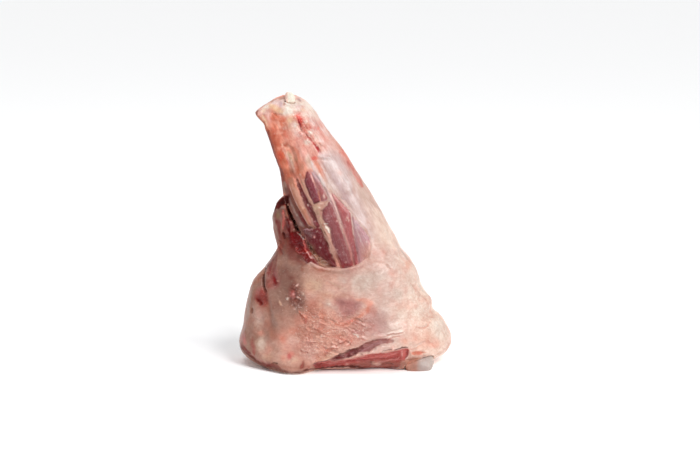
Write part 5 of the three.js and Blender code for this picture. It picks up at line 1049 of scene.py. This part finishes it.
rise += 0.4 * gash * fbm(verts, 2.4, 2, 13) + 0.7 * torn * fbm(verts, 2.0, 2, 19) + 0.2 * red * fbm(verts, 2.2, 2, 29)
rise -= np.maximum(0, rise) * smooth(3.0, 0.5, verts[:, 2])
spread = verts + norm * rise[:, None]
spread[:, 2] = np.maximum(spread[:, 2], 0.0)


# ---------------------------------------------------------------- meat: colours
SUN = np.array([0.66, -0.50, 0.60]) / math.sqrt(0.66 ** 2 + 0.50 ** 2 + 0.60 ** 2)


def shading(p, n):
    """Terms that the light on a surface depends on: the way it faces, its openness, the key light that gets to it."""
    x, y, z = n.T
    room = sum(np.clip(sample(body, p + n * h) / h, 0, 1) for h in (1.2, 2.5, 5.0, 9.0, 15.0)) / 5
    clear = np.ones(len(p))
    for t in (2.0, 4.0, 7.0, 11.0, 16.0, 22.0, 30.0, 40.0):
        clear = np.minimum(clear, np.clip(0.5 + 0.5 * sample(body, p + 1.0 * n + t * SUN) / (0.35 * t), 0, 1))
    key = np.maximum(n @ SUN, 0) * smooth(0.0, 1.0, clear)
    return np.stack([np.ones(len(p)), x, y, z, x * y, y * z, x * z, x * x - y * y, 3 * z * z - 1,
                     room, room * z, room * y, key, p[:, 0] / 60, p[:, 2] / 80], 1)


GAIN = np.array([0.296, -0.092, -0.323, -0.134, 0.044, -0.109, -0.18, 0.205, 0.095, 0.198, -0.015, -0.551, 0.938, 0.089, 0.036])
GLOSS = np.array([0.088, -0.016, 0.231, 0.012, -0.011, -0.029, -0.01, -0.123, -0.061, 0.201, -0.062, 0.23, 0.041, 0.0, 0.01])


BOUNCE = 1.095  # light that pale meat passes on to meat


def light(p, n):
    """Brightness that the studio light gives a plain surface, and its gloss on top."""
    terms = shading(p, n)
    return BOUNCE * np.clip(terms @ GAIN, 0.45, 1.75)[:, None], np.clip(terms @ GLOSS, 0.0, 0.12)[:, None]


def unlit(lit, p, n, part, shine=1.0):
    """Own colour of a surface from the colour that it shows in the light: that colour less the fitted gloss, divided by
    the fitted gain of this scene's light, so the own colour holds a correction for that light.
    """
    gain, gloss = light(p, n)
    gloss = np.minimum(gloss * np.broadcast_to(shine, len(p))[:, None], 0.5 * lit.min(1)[:, None])
    part = part[:, None]
    gain, gloss = gain * part + 1.0 * (1 - part), gloss * part + 0.02 * (1 - part)
    return np.clip((lit - gloss) / gain, (0.022, 0.004, 0.003), 0.92)


tint = paint(verts, px, py)
# valleys of the wrinkles in the crinkled middle darkened towards a reddish brown, partly the fat's own colour in them
# and partly painted shade; their crests lightened with the glint colour as painted highlights
tint = lay(tint, "rust", 0.16 * middle * fat_side * smooth(0.0, -0.3, wrinkle))
tint = lay(tint, "glint", 0.2 * middle * fat_side * smooth(0.12, 0.42, wrinkle))
mottle = np.clip(fbm(verts, 2.8, 3, 201) + 0.6 * fbm(verts, 1.5, 2, 203), -1, 1)[:, None]
streaked = (front * np.clip(blob(px, py, 312, 128, 12, 26, -28) + blob(px, py, 284, 142, 14, 40, -18), 0, 1) * fat_side)[:, None]
tint = tint * (1 + streaked * (np.clip(mottle, 0, 1) * np.array([-0.08, -0.34, -0.36]) + np.clip(-mottle, 0, 1) * np.array([0.14, 0.3, 0.33])))

cloud = fbm(verts + 15, 6.0, 3, 207)[:, None]
cover = (front * fat_side * smooth(78, 66, verts[:, 2]))[:, None]
tint = tint * (1 + cover * (np.clip(cloud, 0, 1) * np.array([0.0, -0.17, -0.19]) + np.clip(-cloud, 0, 1) * np.array([0.07, 0.13, 0.14])))

# the side away from the view: fat cover, rosier on the shin, with streaks along it
back = np.tile(PALETTE["fat_stone"], (len(verts), 1))
back = lay(back, "fat_cream", 0.8 * smooth(-20, 40, verts[:, 0]))
back = lay(back, "fat_rosy", 0.6 * smooth(0.0, 0.9, fbm(verts, 26.0, 3, 91)))
back = lay(back, "apricot", 0.3 * smooth(0.4, 1.0, fbm(verts + 40, 17.0, 3, 95)))
back = lay(back, "fat_bright", 0.5 * smooth(0.1, 0.9, fbm(verts - 30, 15.0, 3, 99)))
streak = fbm(np.stack([verts[:, 0] + 0.5 * (verts[:, 2] - 80), verts[:, 1], 0.14 * verts[:, 2]], 1), 5.0, 3, 103)
shin = smooth(62, 92, verts[:, 2])
back = lay(back, "salmon", shin * 0.6 * smooth(0.0, 0.8, streak))
back = lay(back, "blush", shin * 0.6 * smooth(0.0, 0.8, -streak))
# sides facing the heel side made warmer and darker, to meet the shaded left of the shown side: partly the fat's own
# warmer tone and partly painted shade
heel = smooth(-0.1, -0.7, norm[:, 0]) * smooth(-0.85, 0.0, turned)
back = lay(back, "fat_warm", 0.6 * heel * (1 - shin))
back = lay(back, "orange", 0.6 * heel * shin)

# underside: cut lean with seams between the muscles and a rim of fat
rim = 6.0 - np.minimum(np.minimum(verts[:, 0] + 54, 50 - verts[:, 0]), 31 - np.abs(verts[:, 1]))
cut_noise = fbm(verts, 9.0, 3, 71)
seam = np.abs(fbm(verts * np.array([1, 1, 0.2]), 26.0, 2, 83)) * 16 - 1.0
under_lean = smooth(1.0, -1.0, np.maximum(rim * 1.4 + 2.5 * cut_noise, 1.2 - seam))
sole = np.tile(PALETTE["fat_cream"], (len(verts), 1))
sole = lay(sole, "strip", under_lean)
sole = lay(sole, "maroon", 0.4 * under_lean * smooth(0.0, 1.0, cut_noise))
lean = lean * (1 - under) + under_lean * under
grain = np.where((under > 0.3)[:, None], verts, grain)

lit = tint * front[:, None] + back * (1 - front)[:, None]
lit = lit * (1 - under)[:, None] + sole * under[:, None]
flank = smooth(5.0, 1.0, reach(px, py, curve([(257, 116), (266, 126), (270, 138), (275, 153), (282, 172), (285, 192)]), 8)[0])
dull = np.clip(smooth(0.07, 0.02, lit[:, 1:].mean(1)) + 0.9 * blob(px, py, 367, 264, 8, 5) + 0.8 * flank + 0.9 * blob(px, py, 281, 244, 5, 10) + 0.8 * blob(px, py, 300, 259, 7, 5) + 0.9 * blob(px, py, 293, 212, 4, 13, -20), 0, 1) * front
own = unlit(lit, verts, norm, smooth(-0.1, 0.22, turned) * (1 - under) * (1 - hidden), 1 - 0.5 * dull)
wet = np.clip(np.maximum(lean, front * smooth(1.0, -1.0, within(px, py, WINDOW))), 0, 1)
# pale specks for small glints on the fat and the wet lean: painted highlights, mixed into the colour in the shader
glint_specks = front * fat_side * np.clip(0.15 + 0.7 * middle + 0.35 * blob(px, py, 300, 300, 30, 30) + 0.4 * knee + 0.6 * blob(px, py, 305, 130, 30, 40, -20), 0, 1)
glint_specks = np.maximum(glint_specks, 0.25 * wet * front)
crinkle = np.clip(0.3 + middle + 0.35 * knee + gash + torn + 0.5 * front * blob(px, py, 350, 308, 14, 10), 0, 1.3)


def piece(name, verts, faces, floats, colours, vectors, material):
    mesh = bpy.data.meshes.new(name)
    mesh.from_pydata((verts * MM).tolist(), [], faces)
    mesh.validate()
    for key, values in floats.items():
        mesh.attributes.new(key, "FLOAT", "POINT").data.foreach_set("value", np.ascontiguousarray(values, np.float32))
    for key, values in colours.items():
        rgba = np.ones((len(verts), 4), np.float32)
        rgba[:, :3] = np.clip(values, 0, 1)
        mesh.attributes.new(key, "FLOAT_COLOR", "POINT").data.foreach_set("color", rgba.ravel())
    for key, values in vectors.items():
        mesh.attributes.new(key, "FLOAT_VECTOR", "POINT").data.foreach_set("vector", np.ascontiguousarray(values, np.float32).ravel())
    mesh.polygons.foreach_set("use_smooth", np.ones(len(mesh.polygons), bool))
    mesh.materials.append(material)
    obj = bpy.data.objects.new(name, mesh)
    bpy.context.scene.collection.objects.link(obj)
    return obj


# ---------------------------------------------------------------- materials
class Graph:
    """Short hand for building a node tree."""

    def __init__(self, name):
        self.material = bpy.data.materials.new(name)
        self.material.use_nodes = True
        self.tree = self.material.node_tree
        self.tree.nodes.clear()

    def node(self, kind, **settings):
        n = self.tree.nodes.new(kind)
        for k, v in settings.items():
            setattr(n, k, v)
        return n

    def put(self, socket, value):
        if isinstance(value, bpy.types.NodeSocket):
            self.tree.links.new(value, socket)
        else:
            socket.default_value = value

    def attribute(self, name, output):
        return self.node("ShaderNodeAttribute", attribute_name=name).outputs[output]

    def math(self, op, a, b=0.0, clamp=False):
        n = self.node("ShaderNodeMath", operation=op, use_clamp=clamp)
        self.put(n.inputs[0], a)
        self.put(n.inputs[1], b)
        return n.outputs[0]

    def ramp(self, value, lo, hi, out_lo=0.0, out_hi=1.0):
        n = self.node("ShaderNodeMapRange", interpolation_type="SMOOTHSTEP")
        for i, v in enumerate((value, lo, hi, out_lo, out_hi)):
            self.put(n.inputs[i], v)
        return n.outputs[0]

    def mix(self, fac, a, b, blend="MIX"):
        n = self.node("ShaderNodeMix", data_type="RGBA", blend_type=blend)
        self.put(n.inputs[0], fac)
        self.put(n.inputs[6], a)
        self.put(n.inputs[7], b)
        return n.outputs[2]

    def gain(self, colour, value, lo, hi, dark, bright, fac=1.0):
        """Colour times a tone that runs from dark to bright with a value."""
        return self.mix(fac, colour, self.mix(self.ramp(value, lo, hi), dark + (1,), bright + (1,)), "MULTIPLY")

    def blendf(self, fac, a, b):
        n = self.node("ShaderNodeMix", data_type="FLOAT")
        self.put(n.inputs[0], fac)
        self.put(n.inputs[2], a)
        self.put(n.inputs[3], b)
        return n.outputs[0]

    def blendv(self, fac, a, b):
        n = self.node("ShaderNodeMix", data_type="VECTOR")
        self.put(n.inputs[0], fac)
        self.put(n.inputs[4], a)
        self.put(n.inputs[5], b)
        return n.outputs[1]

    def noise(self, vector, scale, detail=3.0, rough=0.55, distortion=0.0):
        n = self.node("ShaderNodeTexNoise")
        self.put(n.inputs["Vector"], vector)
        n.inputs["Scale"].default_value = scale
        n.inputs["Detail"].default_value = detail
        n.inputs["Roughness"].default_value = rough
        n.inputs["Distortion"].default_value = distortion
        return n.outputs["Fac"]

    def scaled(self, vector, scale):
        n = self.node("ShaderNodeVectorMath", operation="MULTIPLY")
        self.put(n.inputs[0], vector)
        n.inputs[1].default_value = scale
        return n.outputs[0]

    def turned(self, vector, angle):
        n = self.node("ShaderNodeVectorRotate", rotation_type="Y_AXIS")
        self.put(n.inputs["Vector"], vector)
        n.inputs["Angle"].default_value = math.radians(angle)
        return n.outputs[0]

    def bump(self, height, distance, strength=1.0):
        n = self.node("ShaderNodeBump")
        n.inputs["Strength"].default_value = strength
        n.inputs["Distance"].default_value = distance
        self.put(n.inputs["Height"], height)
        return n.outputs[0]

    def surface(self, colour, rough, normal, coat, **fixed):
        s = self.node("ShaderNodeBsdfPrincipled")
        self.put(s.inputs["Base Color"], colour)
        self.put(s.inputs["Roughness"], rough)
        self.put(s.inputs["Normal"], normal)
        self.put(s.inputs["Coat Weight"], coat)
        for k, v in fixed.items():
            s.inputs[k.replace("_", " ")].default_value = v
        out = self.node("ShaderNodeOutputMaterial")
        self.tree.links.new(s.outputs[0], out.inputs[0])
        return self.material


def meat_material():
    g = Graph("raw_meat")
    place = g.scaled(g.node("ShaderNodeTexCoord").outputs["Object"], (1000, 1000, 1000))
    tint = g.attribute("tint", "Color")
    lean = g.attribute("lean", "Fac")
    grain = g.attribute("grain", "Vector")
    wet = g.attribute("wet", "Fac")
    crinkle = g.attribute("crinkle", "Fac")
    shin = g.attribute("shin", "Fac")
    glint_specks = g.attribute("glint_specks", "Fac")
    dull = g.attribute("dull", "Fac")

    # fat: broad mottling, threads along the leg or across the base, fine curd
    broad = g.noise(place, 0.13, 4.0, 0.6, 0.4)
    threads_leg = g.noise(g.scaled(g.turned(place, 26), (0.75, 0.75, 0.14)), 1.0, 4.0, 0.6, 0.4)
    threads_base = g.noise(g.scaled(place, (0.30, 0.34, 0.46)), 1.0, 4.0, 0.62, 1.1)
    threads = g.blendf(shin, threads_base, threads_leg)
    fine = g.noise(place, 0.9, 3.0, 0.6)
    fat = g.gain(tint, broad, 0.32, 0.68, (0.93, 0.90, 0.89), (1.07, 1.10, 1.11))
    fat = g.gain(fat, threads, 0.30, 0.70, (0.90, 0.86, 0.85), (1.10, 1.14, 1.15))
    rough_zone = g.ramp(crinkle, 0.3, 1.1, 0.2, 1.0)
    fat = g.gain(fat, fine, 0.32, 0.68, (0.94, 0.87, 0.85), (1.06, 1.13, 1.15), rough_zone)
    grit = g.noise(place, 1.9, 2.0, 0.5)
    fat = g.gain(fat, grit, 0.32, 0.68, (0.95, 0.91, 0.90), (1.05, 1.09, 1.10), rough_zone)
    # ridged creases: the colour darkens in their hollows and lightens on their crests, where the bump below sinks and
    # raises the surface, partly the fat's own colour and partly painted shade and highlight
    crease = g.node("ShaderNodeTexNoise", noise_type="RIDGED_MULTIFRACTAL")
    g.put(crease.inputs["Vector"], g.scaled(place, (0.8, 1.0, 1.25)))
    for key, value in (("Scale", 0.34), ("Detail", 3.0), ("Roughness", 0.5), ("Lacunarity", 2.1), ("Offset", 0.85), ("Gain", 1.6), ("Distortion", 1.2)):
        crease.inputs[key].default_value = value
    fold = crease.outputs[0]
    fat = g.gain(fat, fold, 0.25, 1.3, (0.86, 0.78, 0.76), (1.08, 1.12, 1.13), g.ramp(crinkle, 0.35, 1.2, 0.0, 0.55))
    # pale specks where the fat would catch small glints: painted highlights
    glint_bits = g.math("MULTIPLY", g.ramp(g.noise(place, 0.75, 2.0, 0.5), 0.63, 0.72), glint_specks)
    fat = g.mix(g.math("MULTIPLY", glint_bits, 0.5), fat, (0.62, 0.46, 0.40, 1))

    # lean: fibres along the grain
    fibre = g.noise(g.scaled(grain, (1.7, 0.14, 1.0)), 1.0, 4.0, 0.6)
    strand = g.noise(g.scaled(grain, (4.2, 0.45, 1.0)), 1.0, 3.0, 0.6)
    flesh = g.gain(tint, fibre, 0.30, 0.70, (0.90, 0.87, 0.88), (1.10, 1.14, 1.14))
    flesh = g.gain(flesh, strand, 0.32, 0.68, (0.92, 0.90, 0.90), (1.08, 1.11, 1.11))
    haze = g.noise(place, 0.5, 4.0, 0.6, 0.6)
    flesh = g.mix(g.ramp(haze, 0.45, 0.75, 0.0, 0.22), flesh, (0.42, 0.27, 0.27, 1))
    # the same pale specks on the lean: painted glints
    flesh = g.mix(g.math("MULTIPLY", glint_bits, 0.45), flesh, (0.60, 0.40, 0.38, 1))

    colour = g.mix(lean, fat, flesh)
    rough = g.blendf(lean, g.ramp(fine, 0.3, 0.7, 0.40, 0.58), g.ramp(fibre, 0.35, 0.7, 0.30, 0.46))
    rough = g.math("SUBTRACT", rough, g.math("MULTIPLY", wet, 0.08), clamp=True)
    rough = g.blendf(dull, rough, 0.9)

    height = g.math("ADD", g.math("MULTIPLY", threads, 0.6), g.math("MULTIPLY", fine, 0.25))
    height = g.math("ADD", height, g.math("MULTIPLY", g.math("MULTIPLY", fold, 0.4), g.ramp(crinkle, 0.35, 1.2)))
    height = g.math("MULTIPLY", height, g.ramp(crinkle, 0.0, 1.3, 0.4, 1.3))
    lean_height = g.math("ADD", g.math("MULTIPLY", fibre, 0.45), g.math("MULTIPLY", strand, 0.16))
    normal = g.bump(g.blendf(lean, height, lean_height), 0.001, 0.55)
    coat = g.math("MULTIPLY", g.math("SUBTRACT", 1.0, dull, clamp=True), 0.34)
    return g.surface(colour, rough, normal, coat, Subsurface_Weight=0.12, Subsurface_Scale=0.002,
                     Subsurface_Radius=(1.0, 0.5, 0.36), Coat_Roughness=0.13, IOR=1.22)


def bone_material():
    g = Graph("shank_bone")
    place = g.scaled(g.node("ShaderNodeTexCoord").outputs["Object"], (1000, 1000, 1000))
    tint = g.attribute("tint", "Color")
    broad = g.noise(place, 0.22, 4.0, 0.6)
    fine = g.noise(place, 0.9, 3.0, 0.6)
    colour = g.gain(tint, broad, 0.32, 0.68, (0.92, 0.90, 0.89), (1.06, 1.07, 1.07))
    colour = g.gain(colour, fine, 0.32, 0.68, (0.94, 0.92, 0.91), (1.05, 1.06, 1.06))
    rough = g.ramp(fine, 0.3, 0.7, 0.45, 0.62)
    height = g.math("ADD", g.math("MULTIPLY", broad, 0.5), g.math("MULTIPLY", fine, 0.2))
    return g.surface(colour, rough, g.bump(height, 0.001, 0.5), 0.1, Subsurface_Weight=0.12, Subsurface_Scale=0.002,
                     Subsurface_Radius=(1.0, 0.6, 0.45), Coat_Roughness=0.25, IOR=1.4)


meat = piece("shank_meat", spread, faces, {"lean": lean, "wet": wet, "crinkle": crinkle, "shin": shin, "glint_specks": glint_specks, "dull": dull},
             {"tint": own}, {"grain": grain}, meat_material())

# ---------------------------------------------------------------- bone
AROUND, UPWARD = 112, 210
turn = np.arange(AROUND) / AROUND * 2 * math.pi


def tube(sections, power, around, rows, dents):
    """Rings of points up a stack of sections, closed at both ends."""
    low, high = sections[0, 0], sections[-1, 0]
    share = np.arange(rows) / (rows - 1)
    heights = low + (high - low) * (share - 0.55 * np.sin(2 * math.pi * share) / (2 * math.pi))
    c, s = np.cos(around), np.sin(around)
    n = len(around)
    points, faces, mids = [], [], []
    for z in heights:
        left, right, near, far = (along(sections, k, np.array([z]))[0] for k in (1, 2, 3, 4))
        a, b = (right - left) / 2, (far - near) / 2
        n_z = power(z)
        r = (np.abs(c / a) ** n_z + np.abs(s / b) ** n_z) ** (-1 / n_z) + dents(around, z)
        mids.append(((left + right) / 2, (near + far) / 2, z))
        points.append(np.stack([mids[-1][0] + r * c, mids[-1][1] + r * s, np.full(n, z)], 1))
    for j in range(rows - 1):
        faces += [(j * n + i, j * n + (i + 1) % n, (j + 1) * n + (i + 1) % n, (j + 1) * n + i) for i in range(n)]
    total = rows * n
    for start, up in ((0, False), ((rows - 1) * n, True)):
        ring = points[0] if not up else points[rows - 1]
        centre = ring.mean(0)
        previous = list(range(start, start + n))
        for k in range(1, 9):
            points.append(centre + (ring - centre) * (1 - k / 9))
            now = list(range(total, total + n))
            total += n
            for i in range(n):
                loop = (previous[i], previous[(i + 1) % n], now[(i + 1) % n], now[i])
                faces.append(loop if up else loop[::-1])
            previous = now
        points.append(centre[None])
        faces += [(previous[i], previous[(i + 1) % n], total) if up else (previous[(i + 1) % n], previous[i], total) for i in range(n)]
        total += 1
    points, mids = np.vstack(points), np.array(mids)
    axis = np.stack([np.interp(points[:, 2], mids[:, 2], mids[:, 0]), np.interp(points[:, 2], mids[:, 2], mids[:, 1]), points[:, 2]], 1)
    out = points - axis
    return points, faces, out / np.maximum(np.linalg.norm(out, axis=1), 1e-6)[:, None]


def shaft_dents(angle, z):
    groove = -1.2 * bump(angle, 2 * math.pi - 1.9, 0.35) * smooth(34, 52, z) * (1 - smooth(137, 149, z))
    return groove - 1.1 * bump(angle, 2.2, 0.4) * (1 - smooth(6, 18, z))


def chip_dents(angle, z):
    return 0.25 * np.sin(3 * angle + 0.4 * z)


shaft, shaft_faces, shaft_out = tube(BONE, bone_power, turn, UPWARD, shaft_dents)
shaft = shaft + shaft_out * (smooth(0.0, 0.6, shaft[:, 2]) * (0.3 * fbm(shaft, 6.0, 3, 133) + 0.12 * fbm(shaft, 2.0, 2, 137)))[:, None]
chip, chip_faces, chip_out = tube(CHIP, lambda z: 4.0, turn[::2], 40, chip_dents)
chip = chip + chip_out * (0.16 * fbm(chip, 2.6, 3, 139))[:, None]
bone_verts = np.vstack([shaft, chip])
bone_faces = shaft_faces + [tuple(i + len(shaft) for i in f) for f in chip_faces]
bone_norm = normals(bone_verts, bone_faces)
bx, by = picture(bone_verts)
bone_lit = np.tile(PALETTE["bone"], (len(bone_verts), 1))
# darker patches at random: the bone's own tone
bone_lit = lay(bone_lit, "bone_grey_and_shade", 0.35 * smooth(-0.2, 0.8, fbm(bone_verts, 9.0, 3, 141)))
ahead = smooth(4, -6, bone_verts[:, 1]) * smooth(30, 20, bone_verts[:, 2])
# pale patch on the front of the bone's end: painted highlight
bone_lit = lay(bone_lit, "bone_highlight", 0.45 * ahead * blob(bx, by, 423, 362, 4, 5))
# top of the bone's front darkened under the edge of the meat: painted shadow
bone_lit = lay(bone_lit, "bone_grey_and_shade", 0.4 * ahead * smooth(359.6, 357.6, by))
# right edge paler, on the side towards the key light: painted light
bone_lit = lay(bone_lit, "bone_highlight", 0.6 * ahead * smooth(426, 431, bx))
bone_lit = lay(bone_lit, "tissue", 0.85 * ahead * smooth(421, 415, bx))
top = smooth(148, 151, bone_verts[:, 2])
bone_lit = lay(bone_lit, "chip", top)
bone_lit = lay(bone_lit, "shell", 0.7 * top * smooth(288.4, 286.8, bx))
bone_lit = lay(bone_lit, "tan", 0.6 * top * smooth(101, 103, by))
toward = smooth(-0.4, 0.0, (bone_norm * (EYE - bone_verts)).sum(1) / 1143.0)
bone = piece("shank_bone", bone_verts, bone_faces, {}, {"tint": unlit(bone_lit, bone_verts, bone_norm, toward)}, {}, bone_material())

for obj, node in ((meat, "meat"), (bone, "bone")):
    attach(obj, "root")
    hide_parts(node)

# ---------------------------------------------------------------- floor, light, camera
floor_mesh = bpy.data.meshes.new("floor")
floor_mesh.from_pydata([(-14, -14, 0), (14, -14, 0), (14, 14, 0), (-14, 14, 0)], [], [(0, 1, 2, 3)])
floor = bpy.data.objects.new("floor", floor_mesh)
floor.location.z = -0.0002
bpy.context.scene.collection.objects.link(floor)
pale = bpy.data.materials.new("pale_floor")
pale.use_nodes = True
pale.node_tree.nodes["Principled BSDF"].inputs["Base Color"].default_value = (0.95, 0.95, 0.95, 1)
pale.node_tree.nodes["Principled BSDF"].inputs["Roughness"].default_value = 0.9
floor_mesh.materials.append(pale)


def area(name, place, size, watts, colour=(1, 1, 1)):
    lamp = bpy.data.lights.new(name, "AREA")
    lamp.shape = "DISK"
    lamp.size = size
    lamp.energy = watts
    lamp.color = colour
    obj = bpy.data.objects.new(name, lamp)
    bpy.context.scene.collection.objects.link(obj)
    obj.location = place
    obj.rotation_euler = (Vector((0, 0, 0.09)) - Vector(place)).to_track_quat("-Z", "Y").to_euler()
    return obj


sun_data = bpy.data.lights.new("key", "SUN")
sun_data.energy, sun_data.angle, sun_data.color = 2.5, math.radians(36), (1.0, 0.985, 0.96)
sun = bpy.data.objects.new("key", sun_data)
bpy.context.scene.collection.objects.link(sun)
sun.rotation_euler = Vector((-0.66, 0.50, -0.60)).to_track_quat("-Z", "Y").to_euler()
area("soft_box", (0.42, -0.85, 0.95), 0.26, 5.2)
area("top", (-0.25, -0.15, 1.2), 0.6, 4.2)
area("fill", (-0.1, -1.3, 0.22), 0.5, 1.3)

world = bpy.data.worlds.new("studio")
bpy.context.scene.world = world
world.use_nodes = True
world.node_tree.nodes["Background"].inputs[0].default_value = (0.95, 0.97, 1.0, 1)
world.node_tree.nodes["Background"].inputs[1].default_value = 0.55

camera_data = bpy.data.cameras.new("camera")
camera_data.lens, camera_data.sensor_width = LENS, SENSOR
camera_data.clip_start, camera_data.clip_end = 0.05, 60
camera = bpy.data.objects.new("camera", camera_data)
bpy.context.scene.collection.objects.link(camera)
camera.location = Vector(EYE * MM)
camera.rotation_euler = Vector(LOOK).to_track_quat("-Z", "Y").to_euler()
bpy.context.scene.camera = camera
bpy.context.scene.view_settings.view_transform = "Standard"
